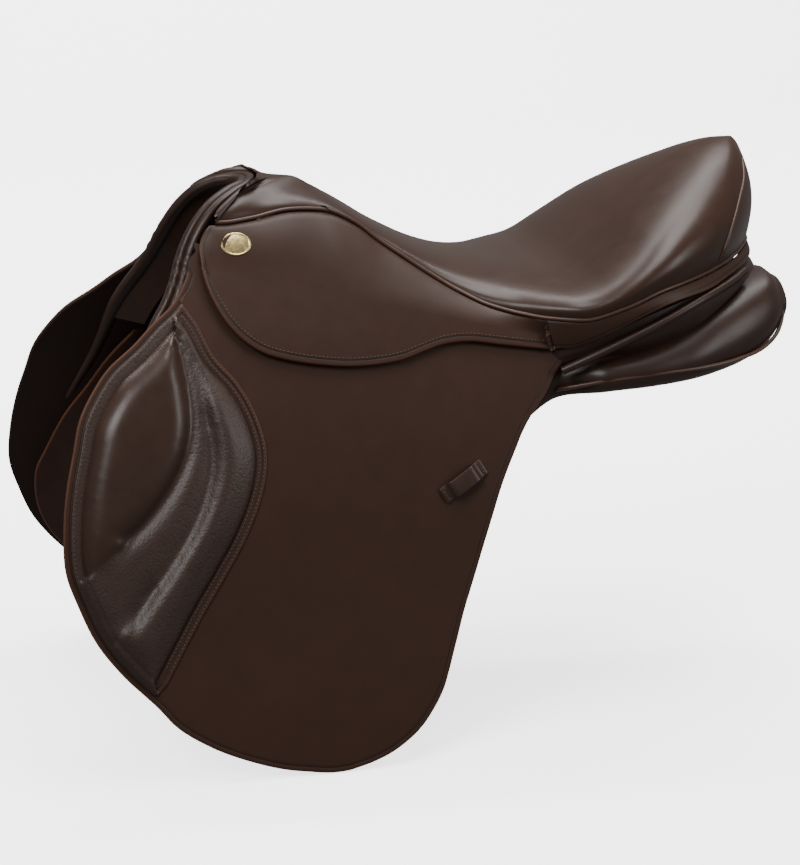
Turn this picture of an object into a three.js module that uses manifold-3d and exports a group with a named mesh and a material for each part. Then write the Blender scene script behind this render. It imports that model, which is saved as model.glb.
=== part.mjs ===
// English riding saddle, general purpose, 17.5 inch seat.
// Millimetres. +X to the horse's head, +Y to the horse's left (near side), +Z up.
import * as THREE from 'three';
import Module from 'manifold-3d';

const wasm = await Module();
wasm.setup();

// ---------------------------------------------------------------- driving dimensions
const FLAP_T = 4.5;            // flap leather
const SKIRT_IN = 2.0;          // skirt inner face above the flap face
const SKIRT_OUT = 6.5;         // skirt outer face above the flap face
const COVER_T = 2.5;           // seat leather
const FOAM_GAP = 2.0;
const FOAM_T = 7.0;
const FOAM_FRONT = 150;        // the foam ends here, behind the head
const WELT_R = 1.6;            // piping between seat and skirt
const BILLET_W = 25;           // girth strap width
const BILLET_OFF = [-9.6, -13.0];
const BILLET_X = [152, 122, 92];
const BILLET_TOP = 56, BILLET_END = -185;
const BAR_W = 14, BAR_R = 14;  // stirrup bar width, and its distance below the fold line
const CATCH_A = -30.4, CATCH_R = 3.2;   // pivot of the bar's catch, and the radius of its round end
// front arch facing: centre line of its near half, and its section as (forward, outward) points
const FACE_PATH = [[325, 112.6, -28], [315, 107.4, -10], [304.5, 100, 11], [297, 90, 32], [292, 80, 50], [287, 72.5, 64], [280, 67, 77], [270, 61.5, 92], [262, 54, 107], [256.5, 47, 121], [250, 41.5, 135], [241, 37, 149], [229, 31.5, 161], [214, 23.5, 169], [201, 13, 172.4], [196, 0, 173.2]];
const FACE_SEC = [[-7, -1.5], [-6.2, 1.6], [-3, 2.6], [-0.4, 1.9], [2.2, 2.7], [5.5, 1.6], [7.4, -1.8], [6.2, -5.2], [1, -6.6], [-5, -5]];
const HINGE_A = [-36, 50], HINGE_B = [246, 116];   // fold line of flap and skirt, x and surface height

const leather = [0.085, 0.05, 0.036], steel = [0.55, 0.55, 0.56], brass = [0.72, 0.56, 0.26];
const wood = [0.62, 0.45, 0.28], webbing = [0.72, 0.68, 0.58], foam = [0.86, 0.82, 0.70];

// ---------------------------------------------------------------- flap surface: y as a function of height
const PZ = [-290, -200, -120, -50, 10, 60, 100, 130, 160, 176, 190];
const PY = [199, 178, 157, 138.5, 119, 97, 74.5, 56, 37, 24, 6];
function pchip(xs, ys) {
  const n = xs.length, h = [], d = [], m = new Array(n).fill(0);
  for (let i = 0; i < n - 1; i++) { h.push(xs[i + 1] - xs[i]); d.push((ys[i + 1] - ys[i]) / h[i]); }
  for (let i = 1; i < n - 1; i++) if (d[i - 1] * d[i] > 0) {
    const w1 = 2 * h[i] + h[i - 1], w2 = h[i] + 2 * h[i - 1];
    m[i] = (w1 + w2) / (w1 / d[i - 1] + w2 / d[i]);
  }
  m[0] = d[0]; m[n - 1] = d[n - 2];
  return x => {
    let i = 0; while (i < n - 2 && x > xs[i + 1]) i++;
    const t = Math.min(1, Math.max(0, (x - xs[i]) / h[i])), t2 = t * t, t3 = t2 * t;
    return (2 * t3 - 3 * t2 + 1) * ys[i] + (t3 - 2 * t2 + t) * h[i] * m[i] + (-2 * t3 + 3 * t2) * ys[i + 1] + (t3 - t2) * h[i] * m[i + 1];
  };
}
const Yf = pchip(PZ, PY);
function nrm(z) { const s = (Yf(z + 1) - Yf(z - 1)) / 2, l = Math.hypot(1, s); return [0, 1 / l, -s / l]; }
function S(x, z, off) { const n = nrm(z); return [x, Yf(z) + off * n[1], z + off * n[2]]; }
const Hz = x => HINGE_A[1] + (x - HINGE_A[0]) * (HINGE_B[1] - HINGE_A[1]) / (HINGE_B[0] - HINGE_A[0]);

// ---------------------------------------------------------------- small helpers
const lerp = (a, b, t) => a.map((v, i) => v + (b[i] - v) * t);
const sub = (a, b) => a.map((v, i) => v - b[i]);
const dot = (a, b) => a[0] * b[0] + a[1] * b[1] + a[2] * b[2];
const cross = (a, b) => [a[1] * b[2] - a[2] * b[1], a[2] * b[0] - a[0] * b[2], a[0] * b[1] - a[1] * b[0]];
const unit = a => { const l = Math.hypot(...a) || 1; return a.map(v => v / l); };
const add = (a, b, k = 1) => a.map((v, i) => v + k * b[i]);

function resample(pts, n) {                      // smooth curve through the points, n samples at equal spacing
  const dim = pts[0].length;
  const c = new THREE.CatmullRomCurve3(pts.map(p => new THREE.Vector3(p[0], p[1], dim > 2 ? p[2] : 0)), false, 'centripetal');
  c.arcLengthDivisions = 600;
  return c.getSpacedPoints(n - 1).map(v => dim > 2 ? [v.x, v.y, v.z] : [v.x, v.y]);
}

function geo(verts, tris) {
  const g = new THREE.BufferGeometry();
  g.setAttribute('position', new THREE.Float32BufferAttribute(verts.flat(), 3));
  g.setIndex(tris.flat());
  return orient(g);
}
function orient(g) {                             // faces outward
  const p = g.attributes.position.array, ix = g.index.array; let v = 0;
  for (let i = 0; i < ix.length; i += 3) {
    const a = [...p.slice(3 * ix[i], 3 * ix[i] + 3)], b = [...p.slice(3 * ix[i + 1], 3 * ix[i + 1] + 3)], c = [...p.slice(3 * ix[i + 2], 3 * ix[i + 2] + 3)];
    v += dot(a, cross(b, c));
  }
  if (v < 0) for (let i = 0; i < ix.length; i += 3) { const t = ix[i]; ix[i] = ix[i + 1]; ix[i + 1] = t; }
  g.computeVertexNormals();
  return g;
}
// closed solid between two grids of equal size, rows of points
function slab(A, B, wrap = false) {
  const r = A.length, c = A[0].length, v = [...A.flat(), ...B.flat()], o = r * c, t = [];
  const id = (i, j) => (wrap ? (i % r) : i) * c + j;
  const rr = wrap ? r : r - 1;
  for (let i = 0; i < rr; i++) for (let j = 0; j < c - 1; j++) {
    t.push([id(i, j), id(i + 1, j), id(i + 1, j + 1)], [id(i, j), id(i + 1, j + 1), id(i, j + 1)]);
    t.push([o + id(i, j), o + id(i + 1, j + 1), o + id(i + 1, j)], [o + id(i, j), o + id(i, j + 1), o + id(i + 1, j + 1)]);
  }
  const side = (a, b) => t.push([a, o + a, o + b], [a, o + b, b]);
  if (!wrap) {
    for (let j = 0; j < c - 1; j++) { side(id(0, j + 1), id(0, j)); side(id(r - 1, j), id(r - 1, j + 1)); }
  }
  for (let i = 0; i < rr; i++) { side(id(i, 0), id(i + 1, 0)); side(id(i + 1, c - 1), id(i, c - 1)); }
  // fix winding of the rim against the faces
  return geo(v, fixWinding(v.length, t));
}
function fixWinding(n, tris) {                   // make every shared edge run both ways
  const edge = new Map(), key = (a, b) => a * n + b, use = tris.map(() => false), out = tris.map(t => [...t]);
  const byEdge = new Map();
  tris.forEach((t, k) => { for (let e = 0; e < 3; e++) { const a = t[e], b = t[(e + 1) % 3], q = Math.min(a, b) * n + Math.max(a, b); if (!byEdge.has(q)) byEdge.set(q, []); byEdge.get(q).push(k); } });
  const stack = [0]; use[0] = true;
  while (stack.length) {
    const k = stack.pop(), t = out[k];
    for (let e = 0; e < 3; e++) {
      const a = t[e], b = t[(e + 1) % 3], q = Math.min(a, b) * n + Math.max(a, b);
      for (const m of byEdge.get(q)) if (!use[m]) {
        const u = out[m]; let same = false;
        for (let f = 0; f < 3; f++) if (u[f] === a && u[(f + 1) % 3] === b) same = true;
        if (same) out[m] = [u[0], u[2], u[1]];
        use[m] = true; stack.push(m);
      }
    }
  }
  return out;
}
function loft(rings) {                           // closed rings of equal count, capped with fans
  const r = rings.length, c = rings[0].length, v = rings.flat(), t = [];
  for (let i = 0; i < r - 1; i++) for (let j = 0; j < c; j++) {
    const a = i * c + j, b = i * c + (j + 1) % c, d = (i + 1) * c + j, e = (i + 1) * c + (j + 1) % c;
    t.push([a, d, e], [a, e, b]);
  }
  const cen = k => rings[k].reduce((s, p) => add(s, p, 1 / c), [0, 0, 0]);
  v.push(cen(0), cen(r - 1));
  for (let j = 0; j < c; j++) { t.push([r * c, j, (j + 1) % c]); t.push([r * c + 1, (r - 1) * c + (j + 1) % c, (r - 1) * c + j]); }
  return geo(v, fixWinding(v.length, t));
}
const mirrorG = g => { const h = g.clone(); h.scale(1, -1, 1); const ix = h.index.array; for (let i = 0; i < ix.length; i += 3) { const q = ix[i]; ix[i] = ix[i + 1]; ix[i + 1] = q; } h.computeVertexNormals(); return h; };
function toM(g) {
  const map = new Map(), vp = [], tv = [], p = g.attributes.position.array, ix = g.index ? g.index.array : [...Array(p.length / 3).keys()];
  for (const i of ix) {
    const k = [0, 1, 2].map(q => Math.round(p[3 * i + q] * 1e4)).join();
    if (!map.has(k)) { map.set(k, vp.length / 3); vp.push(p[3 * i], p[3 * i + 1], p[3 * i + 2]); }
    tv.push(map.get(k));
  }
  const ok = []; for (let i = 0; i < tv.length; i += 3) if (tv[i] !== tv[i + 1] && tv[i] !== tv[i + 2] && tv[i + 1] !== tv[i + 2]) ok.push(tv[i], tv[i + 1], tv[i + 2]);
  return new wasm.Manifold(new wasm.Mesh({ numProp: 3, vertProperties: new Float32Array(vp), triVerts: new Uint32Array(ok) }));
}
function fromM(m) {
  const q = m.getMesh(), g = new THREE.BufferGeometry();
  g.setAttribute('position', new THREE.BufferAttribute(new Float32Array(q.vertProperties), 3));
  g.setIndex([...q.triVerts]); return orient(g);
}
const group = new THREE.Group();
function put(name, g, color, rough = 0.5, metal = 0) {
  const m = new THREE.Mesh(g, new THREE.MeshStandardMaterial({ color: new THREE.Color(...color), roughness: rough, metalness: metal }));
  m.name = name; group.add(m); return m;
}
function both(name, g, ...a) { put(name + '_left', g, ...a); put(name + '_right', mirrorG(g), ...a); }
// sheet on the flap surface between two border curves of x and height
function sheet(R, F, nu, off1, off2) {
  const A = [], B = [];
  for (let i = 0; i < R.length; i++) {
    const a = [], b = [];
    for (let j = 0; j <= nu; j++) { const p = lerp(R[i], F[i], j / nu); a.push(S(p[0], p[1], off1)); b.push(S(p[0], p[1], off2)); }
    A.push(a); B.push(b);
  }
  return slab(A, B);
}
// strip between two space curves, thickened to one side
function strip(T, B, rows, t0, t1, hint, bulge = () => 0) {
  const n = T.length, A = [], C = [];
  for (let i = 0; i < n; i++) {
    const tan = unit(sub(T[Math.min(n - 1, i + 1)], T[Math.max(0, i - 1)]));
    let nn = unit(cross(tan, unit(sub(B[i], T[i]))));
    if (dot(nn, hint(i)) < 0) nn = nn.map(v => -v);
    const a = [], c = [];
    for (let j = 0; j <= rows; j++) { const p = add(lerp(T[i], B[i], j / rows), nn, bulge(i) * Math.sin(Math.PI * j / rows)); a.push(add(p, nn, t0)); c.push(add(p, nn, t1)); }
    A.push(a); C.push(c);
  }
  return slab(A, C);
}

// ---------------------------------------------------------------- flap
const FRONT = [[256.8, 115.3], [259, 111.3], [270.4, 96.2], [288.6, 82.8], [304.1, 70], [325.4, 54.8], [336.4, 42.9], [350.9, 20.8], [358.5, -4.3], [365.2, -28.9], [369.7, -56.8], [370.5, -88.9], [362.6, -115.4], [350.9, -142.8], [332.8, -168], [307.8, -194.1], [292, -212], [265.2, -229.6], [239.4, -241.2], [212.4, -250], [185.9, -254.9]];
const REAR = [[-38, 46.2], [-35.6, 39.2], [-25.8, 26.8], [-16, 12.7], [-6.7, 2.3], [3.6, -11.8], [11.4, -26.1], [19.1, -40.6], [25.9, -55.1], [31.9, -69.7], [37.8, -84.4], [43.7, -99.1], [49.5, -113.8], [55.4, -128.4], [61.3, -143], [66.4, -157.7], [71.5, -172.4], [76.5, -187.1], [82.4, -201.8], [91.4, -216.2], [103.6, -230.3], [122.9, -243.7], [141, -251], [158.9, -255.4]];
const NV = 19;
const fR = resample(REAR, NV), fF = resample(FRONT, NV);
let flap = sheet(fR, fF, 11, 0, -FLAP_T);

// fold-line frame at the middle of the stirrup bar
const barMid = 176;
const e1 = unit(sub(S(206, Hz(206), 0), S(146, Hz(146), 0)));
const nB = (() => { const n = nrm(Hz(barMid) - BAR_R - BAR_W / 2); return unit(add(n, e1, -dot(n, e1))); })();
const e2 = unit(cross(nB, e1)).map((v, i, a) => a[2] > 0 ? -v : v);          // down the flap
const O = S(barMid, Hz(barMid) - BAR_R - BAR_W / 2 + 1.2, 0);                  // bar centre on the flap face
const loc = (a, r, o) => add(add(add(O, e1, a), e2, r), nB, o);
function prism(poly, r0, r1) {                    // polygon in the e1, normal plane, extruded down the flap
  const A = [poly.map(p => loc(p[0], r0, p[1])), poly.map(p => loc(p[0], r1, p[1]))];
  const v = A.flat(), n = poly.length, t = [];
  const f = THREE.ShapeUtils.triangulateShape(poly.map(p => new THREE.Vector2(...p)), []);
  for (const k of f) { t.push([k[0], k[1], k[2]]); t.push([n + k[0], n + k[2], n + k[1]]); }
  for (let i = 0; i < n; i++) { const j = (i + 1) % n; t.push([i, j, n + j], [i, n + j, n + i]); }
  return geo(v, fixWinding(v.length, t));
}
const box = (a0, a1, r0, r1, o0, o1) => prism([[a0, o0], [a1, o0], [a1, o1], [a0, o1]], r0, r1);
{ // slot at the flap's top for the stirrup bar
  const cut = box(-44, 34, -30, 17, -9, 5);
  flap = fromM(toM(flap).subtract(toM(cut)));
}
both('flap', flap, leather, 0.45);

// fixed top edge of the flap, nailed to the tree
{
  const xs = [-38, -10, 25, 60, 95, 130, 165, 200, 225, 240, 254.2];
  const up = pchip([-40, 10, 130, 190, 225, 254.2], [8, 6, 7, 11, 16, 21.5]);
  const R = [], F = [];
  for (const x of xs) { R.push([x, Hz(x) + 2]); F.push([x, Hz(x) + up(x)]); }
  R[xs.length - 1] = [255.4, 119.4]; F[xs.length - 1] = [254.1, 134.5];
  both('flap_top', sheet(R, F, 2, 0, -FLAP_T), leather, 0.45);
}

// ---------------------------------------------------------------- seat: fan from the centre line to the seam
const SPINE = [[182.4, 177.3], [176, 175.3], [159.9, 173.6], [143.7, 165.4], [127.5, 155.6], [111.2, 144.9], [94.8, 134.1], [78.3, 124.9], [61.7, 116.5], [45, 109.7], [28.3, 104.5], [11.5, 100.9], [-5.4, 98.2], [-22.3, 97.1], [-39.2, 96.9], [-56.2, 100.8], [-73.1, 111.4], [-89.9, 124.6], [-106.8, 139.4], [-123.6, 151.7], [-140.6, 162.4], [-157.5, 171.4], [-174.6, 179.6], [-191.7, 184.4], [-209, 186]];
const zc = (() => { const s = [...SPINE].reverse(); return pchip(s.map(p => p[0]), s.map(p => p[1])); })();
// border of the seat leather: front edge of the pommel, then the seam to the back of the cantle
const SEAM = [[184, 0, 178], [188, 14, 179], [192, 26, 177.5], [207.8, 36.5, 170.5], [224.5, 47.5, 157.8], [231, 51, 151.5], [222, 50.6, 150.8], [200.9, 46, 152], [171.3, 40.5, 155.7], [141.3, 36, 152.8], [116.2, 38.5, 141.4], [100.5, 43, 128.8], [81, 51.5, 115.1], [61.7, 61, 102], [40.8, 73, 89.4], [20, 86, 80], [-1, 98, 75.1], [-21.4, 111, 73], [-46.2, 123, 72.7], [-80.4, 128, 82.2], [-112, 122, 92.3], [-148.3, 104, 97.5], [-178.2, 80, 101.3], [-201, 52, 104.5], [-215, 26, 106.8], [-219.5, 0, 108]];
// spine x that each border point fans to
const FAN = [180, 177, 174, 169, 164, 160, 157, 153, 147, 136, 116, 101, 82, 62, 42, 21, 0, -21, -46, -80, -110, -142, -167, -186, -199, -207];
const POW = [2, 2, 2, 2, 2, 2, 2, 2, 2, 2, 2, 2, 2, 2.0, 2.0, 2.1, 2.3, 2.6, 2.8, 2.7, 2.5, 2.4, 2.4, 2.5, 2.6, 2.6];
const BULGE = [0, 0, 0, 0, 0, 0, 0, 0, 0, 0, 0, 0, 0, 0, 0, 0, 1, 3, 5, 6, 7, 8, 8, 8, 7, 6];
const idx = SEAM.map((_, i) => i);
const sx = pchip(idx, SEAM.map(p => p[0])), sy = pchip(idx, SEAM.map(p => p[1])), sz = pchip(idx, SEAM.map(p => p[2]));
const fx = pchip(idx, FAN), fp = pchip(idx, POW), fb = pchip(idx, BULGE);
function seatPoint(u, s, inset = 0) {            // u along the border, s from centre (0) to border (1)
  const B = [sx(u), sy(u), sz(u)], A = [fx(u), 0, zc(fx(u))], p = fp(u);
  const D = Math.hypot(B[0] - A[0], B[1]), h = A[2] - B[2], dir = [(B[0] - A[0]) / D, B[1] / D];
  const th = s * Math.PI / 2, X = Math.pow(Math.sin(th), 2 / p), Z = Math.pow(Math.cos(th), 2 / p);
  const bul = fb(u) * Math.sin(Math.PI * Math.min(1, Math.max(0, 1 - Z)));
  const r = D * X + bul * (X > 0.5 ? 1 : X * 2);
  return [A[0] + dir[0] * r, dir[1] * r, B[2] + h * Z];
}
const SS = [0, 0.2, 0.4, 0.58, 0.74, 0.88, 1];
function sEnd(u, clear, cap) {                   // how far down the fan a leather runs that stops short of the seam
  const h = Math.max(6, zc(fx(u)) - sz(u)), Z = Math.min(cap, clear / h);
  return Math.acos(Math.pow(Z, fp(u) / 2)) / (Math.PI / 2);
}
function seatGrid(clear, cap, off, us) {
  const q = us.map(u => SS.map(s => seatPoint(u, s * sEnd(u, clear, cap))));
  const out = q.map((row, i) => row.map((p, j) => {
    const a = q[Math.max(0, i - 1)][j], b = q[Math.min(q.length - 1, i + 1)][j], c = row[Math.max(0, j - 1)], d = row[Math.min(SS.length - 1, j + 1)];
    let n = unit(cross(sub(b, a), sub(d, c)));
    if (j === 0) n = unit([n[0] || 0, 0, n[2] || 1]);
    if (dot(n, [(p[0] + 80) * 0.004 * (p[0] < -120 ? 1 : 0), p[1] * 0.02, 0.4]) < 0) n = n.map(v => -v);
    if (i === 0 || i === q.length - 1) n = unit([n[0], 0, n[2]]);
    return add(p, n, off);
  }));
  return out;
}
// the grid's end rows lie on the centre plane and are joined to themselves, so build as a half and mirror by boolean union
function seatSolid(clear, cap, o1, o2, n) {
  const us = [...Array(n)].map((_, i) => i * (SEAM.length - 1) / (n - 1));
  const A = seatGrid(clear, cap, o1, us), B = seatGrid(clear, cap, o2, us);
  const flat = G => G.map((r, i) => r.map((p, j) => (j === 0 || i === 0 || i === G.length - 1) ? [p[0], -0.02, p[2]] : p));
  const h = slab(flat(A), flat(B));
  const m = toM(h), k = toM(mirrorG(h));
  return fromM(m.add(k));
}
put('seat_leather', seatSolid(2.9, 0.5, 0, -COVER_T, 32), leather, 0.4);
{ // the foam stops behind the head
  const f = toM(seatSolid(14, 0.8, -COVER_T - FOAM_GAP, -COVER_T - FOAM_GAP - FOAM_T, 32)), k = new THREE.BoxGeometry(120, 160, 160); k.translate(FOAM_FRONT + 60, 0, 150);
  put('seat_foam', fromM(f.subtract(toM(k)).decompose().sort((p, q) => q.volume() - p.volume())[0]), foam, 0.95);
}

// ---------------------------------------------------------------- piping along the seam
{
  const n = 40, pts = [];
  for (let i = 0; i < n; i++) { const u = 5.2 + (SEAM.length - 1 - 5.2) * i / (n - 1); pts.push([sx(u), Math.max(2.2, sy(u)), sz(u)]); }
  const rings = pts.map((p, i) => {
    const t = unit(sub(pts[Math.min(n - 1, i + 1)], pts[Math.max(0, i - 1)])), a = unit(cross(t, [0, 0, 1])), b = cross(a, t);
    return [...Array(6)].map((_, k) => { const w = k * Math.PI / 3; return add(add(p, a, WELT_R * Math.cos(w)), b, WELT_R * Math.sin(w)); });
  });
  both('seat_welt', loft(rings), leather, 0.4);
}

// ---------------------------------------------------------------- skirt
const EDGE = [[-26.6, 44.4], [-5.7, 47.2], [18.3, 50.9], [42.2, 54.5], [62.5, 53.7], [79.1, 49.7], [95.8, 45.1], [116.1, 42.9], [139.9, 43], [164.9, 46], [186.5, 50.3], [205.4, 56.4], [219.9, 65.7], [231.5, 78.2], [239.6, 92.5], [244.1, 105.1]];
const zb = pchip(EDGE.map(p => p[0]), EDGE.map(p => p[1]));
{
  const xs = [-24, 0, 22, 44, 64, 84, 104, 124, 144, 164, 184, 200, 214, 225, 234, 240, 244];
  const R = xs.map(x => [x, zb(x)]), F = xs.map(x => [x, Hz(x) - 5]);
  both('skirt', sheet(R, F, 4, SKIRT_OUT, SKIRT_IN), leather, 0.45);
}
// fixed upper skirt: from the seam to the fold line, then the rear strip round the cantle
const STRIP = [[-24, 111, 47], [-41.5, 116, 48.6], [-67.1, 125, 60.5], [-110.1, 128, 80.1], [-153.8, 110, 87], [-173.6, 93, 90], [-199.8, 66, 94.5], [-216, 36, 96.5], [-222, 8, 97]];
{
  const T = [], B = [];
  const seamAt = (u, d) => { const p = [sx(u), sy(u), sz(u)], n = nrm(p[2]); return [p[0], p[1] + d * n[2] * 0.9, p[2] - d * n[1]]; };
  const fr = [[246.5, 122.3], [246.3, 132.7], [239.9, 144.8]];
  for (const [x, z] of fr) T.push(S(x, z, SKIRT_OUT));
  B.push(S(246.6, 120.4, SKIRT_OUT), S(244, Hz(244) + 4.5, SKIRT_OUT), S(238, Hz(238) + 4.5, SKIRT_OUT));
  // along the seam: border position, and x of the matching point on the fold line
  const list = [[5.35, 231], [6.3, 216], [7, 200], [8, 171], [9, 145], [10, 124], [11, 107], [12, 88], [13, 68], [14, 46], [15, 23], [16, 0]];
  for (const [u, xb] of list) {
    const b = S(xb, Hz(xb) + 4.5, SKIRT_OUT), a = [sx(u), sy(u) + 0.8, sz(u)];
    T.push(add(a, unit(sub(b, a)), 4.2)); B.push(b);
  }
  T.push([-20.4, 110.6, 68.8]); B.push([-22, 108.5, 54.4]);
  const us2 = [18.0, 18.55, 19.5, 20.5, 21.3, 22.1, 23, 24, 24.75];
  const Bs = resample(STRIP, us2.length + 1).slice(1);
  us2.forEach((u, i) => { const y = sy(u); T.push([sx(u), Math.max(1.2, y + 1.2), sz(u) - 3.6]); B.push(i === us2.length - 1 ? [-222, 1.2, 97] : Bs[i]); });
  const outw = i => { const p = T[i]; return p[0] > -60 ? [0, 1, 0.6] : unit([p[0] + 90 < 0 ? (p[0] + 90) : 0, p[1] * 1.2, 30]); };
  const ts = T.length;
  both('skirt_upper', strip(T, B, 3, 0, -4.2, outw, i => T[i][0] > 185 ? 0.2 : 2), leather, 0.45);
}

// ---------------------------------------------------------------- knee roll, keeper, badge
const KSEAM = [[265.6, 97.6], [253.9, 80.7], [243.6, 57.9], [227.1, 37.8], [216.1, 16.4], [210.1, -7.2], [210.5, -24.7], [217, -47.7], [230.4, -74.7], [248.3, -101.5], [266, -126.3], [283.9, -153.3], [299.6, -177.8]];
{
  const KF = [[268, 96], [279, 84], [293, 72], [312, 58], [324, 44], [338, 20], [346, -5], [353, -30], [357, -58], [357, -88], [350, -112], [339, -138], [322, -163], [303, -181]];
  const R = resample(KSEAM, 15), F = resample(KF, 15), A = [], B = [];
  for (let i = 0; i < 15; i++) {
    const a = [], b = [];
    for (let j = 0; j <= 8; j++) {
      const t = j / 8, p = lerp(R[i], F[i], t), e = Math.min(1, Math.sin(Math.PI * i / 14) * 2.2 + 0.05);
      const h = 1.2 + 11 * Math.pow(Math.sin(Math.PI * Math.min(1, t * 0.9 + 0.05)), 0.7) * e * (0.72 + 0.28 * Math.cos(4 * Math.PI * (t - 0.25)));
      a.push(S(p[0], p[1], 0.6 + h)); b.push(S(p[0], p[1], 0.6));
    }
    A.push(a); B.push(b);
  }
  both('knee_roll', slab(A, B), leather, 0.4);
}
{ // keeper loop: flat band standing off the flap, for the end of a surcingle or girth strap
  const c = [56, -46.3], u = unit([32.3, -19.2]), w = [-u[1], u[0]].map(v => -v);
  const P = (a, b, o) => S(c[0] + u[0] * a + w[0] * b, c[1] + u[1] * a + w[1] * b, o);
  const prof = [[-19, 0.5], [-19, 2.3], [-13, 2.6], [-11, 6.2], [11, 6.2], [13, 2.6], [19, 2.3], [19, 0.5], [12, 0.5], [10, 4.2], [-10, 4.2], [-12, 0.5]];
  const v = [...prof.map(p => P(p[0], -6.5, p[1])), ...prof.map(p => P(p[0], 6.5, p[1]))], n = prof.length, t = [];
  const f = THREE.ShapeUtils.triangulateShape(prof.map(p => new THREE.Vector2(...p)), []);
  for (const k of f) { t.push([k[0], k[1], k[2]]); t.push([n + k[0], n + k[2], n + k[1]]); }
  for (let i = 0; i < n; i++) { const j = (i + 1) % n; t.push([i, j, n + j], [i, n + j, n + i]); }
  both('strap_keeper', geo(v, fixWinding(v.length, t)), leather, 0.45);
}
{ // plain oval saddle nail
  const A = [], B = [], n = 20, c = [217.4, 131.5];
  const ring = (k, o) => [...Array(n)].map((_, i) => { const w = i * 2 * Math.PI / n; return S(c[0] + 12 * k * Math.cos(w), c[1] + 8 * k * Math.sin(w), o); });
  both('saddle_nail', loft([ring(0.9, SKIRT_OUT + 1.4), ring(1, SKIRT_OUT + 1.8), ring(0.95, SKIRT_OUT + 2.5), ring(0.5, SKIRT_OUT + 3.1)]), brass, 0.3, 1);
}

// ---------------------------------------------------------------- stirrup bar and catch
{
  const prof = [[-26, -15.2], [27, -15.2], [27, 0.4], [-24, 0.4], [-26, -1], [-26, -5.4], [19, -5.4], [19, -12.6], [-26, -12.6]];
  both('stirrup_bar', prism(prof, -BAR_W / 2, BAR_W / 2), steel, 0.3, 1);
  // the catch lies in the a, r plane, and its near end is round about the pivot
  const c = [[-40, -CATCH_R], [-40, CATCH_R]];
  for (let i = 0; i <= 10; i++) { const w = Math.PI / 2 - i * Math.PI / 10; c.push([CATCH_A + CATCH_R * Math.cos(w), CATCH_R * Math.sin(w)]); }
  const v = [...c.map(p => loc(p[0], p[1], -0.4)), ...c.map(p => loc(p[0], p[1], -5.0))], n = c.length, t = [];
  for (const k of THREE.ShapeUtils.triangulateShape(c.map(p => new THREE.Vector2(...p)), [])) { t.push([k[0], k[1], k[2]]); t.push([n + k[0], n + k[2], n + k[1]]); }
  for (let i = 0; i < n; i++) { const j = (i + 1) % n; t.push([i, j, n + j], [i, n + j, n + i]); }
  both('bar_catch', geo(v, fixWinding(v.length, t)), steel, 0.3, 1);
}

// ---------------------------------------------------------------- tree
const OX = (x, z, o) => S(x, z, o);
function archSection(o1, o2, zTop, zs, zEnd) {   // y,z outline of half an arch between two depths under the flap surface
  const half = (o, zt) => { const q = []; for (const z of zs) { const p = S(0, z, o); q.push([p[1], p[2]]); } q.push([Math.min(20, q[q.length - 1][0] - 4), zt - 1.2], [0, zt]); return q; };
  return [half(o1, zTop), half(o2, zTop - (o1 - o2))];
}
function arch(name, x0, x1, o1, o2, zTop, zs, color, r, m) {
  const [a, b] = archSection(o1, o2, zTop, zs);
  const outer = [...a, ...a.slice(0, -1).reverse().map(p => [-p[0], p[1]])], inner = [...b, ...b.slice(0, -1).reverse().map(p => [-p[0], p[1]])];
  const A = outer.map(p => [[x0, ...p], [x1, ...p]]), B = inner.map(p => [[x0, ...p], [x1, ...p]]);
  put(name, slab(A, B), color, r, m);
}
arch('tree_head', 154, 180, -18.4, -27.5, 149, [101, 113, 125, 137, 146], wood, 0.7, 0);
arch('head_plate', 156, 178, -16.0, -17.8, 151.4, [101, 113, 125, 137, 146], steel, 0.4, 1);
arch('gullet_plate', 156, 178, -28.1, -30.3, 139.3, [101, 113, 125, 137, 146], steel, 0.4, 1);
{ // points of the tree, below the head
  const zs = [98, 82, 66, 50, 36];
  both('tree_point', sheet(zs.map(z => [156 + (98 - z) * 0.05, z]), zs.map(z => [178 + (98 - z) * 0.02, z]), 1, -18.4, -26.0), wood, 0.7);
}
const RAIL_X = [152.8, 100, 50, 0, -40, -80, -120, -150];
const RAIL_T = [[44.5, 110], [54, 93.5], [63, 81.5], [71, 73], [79, 72], [89, 76.5], [91.5, 84.5], [85, 92]];
const RAIL_B = [[64, 77.5], [73, 61], [80, 54], [85, 50.5], [90, 50], [97, 55], [98.5, 62], [91.5, 69.5]];
{
  const T = RAIL_X.map((x, i) => [x, ...RAIL_T[i]]), B = RAIL_X.map((x, i) => [x, ...RAIL_B[i]]);
  const hint = () => [0, 1, 0.6];
  both('tree_rail', strip(resample(T, 11), resample(B, 11), 1, 0, -8, hint), wood, 0.7);
  const mid = (k) => RAIL_X.slice(0, 7).map((x, i) => [i === 0 ? 148 : x, ...lerp(RAIL_T[i], RAIL_B[i], k)]);
  both('tree_spring', strip(resample(mid(0.25), 10), resample(mid(0.75), 10), 1, 2.2, 0.7, hint), steel, 0.35, 1);
}
{ // cantle board: horseshoe
  const T = [[-152.5, 85, 100], [-165, 75, 120], [-180, 57, 140], [-193, 31, 153], [-198, 0, 157]];
  const B = [[-152.5, 93, 70], [-170, 84, 82], [-189, 62, 91], [-203, 34, 98], [-208, 0, 100]];
  const mir = q => [...q, ...q.slice(0, -1).reverse().map(p => [p[0], -p[1], p[2]])];
  const hint = i => [-1, 0, 0.2];
  const TT = resample(mir(T), 17), BB = resample(mir(B), 17);
  const h2 = i => unit([TT[i][0] + 110, TT[i][1], 20]);
  put('tree_cantle', strip(TT, BB, 1, 0, -8, h2), wood, 0.7);
}
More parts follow.
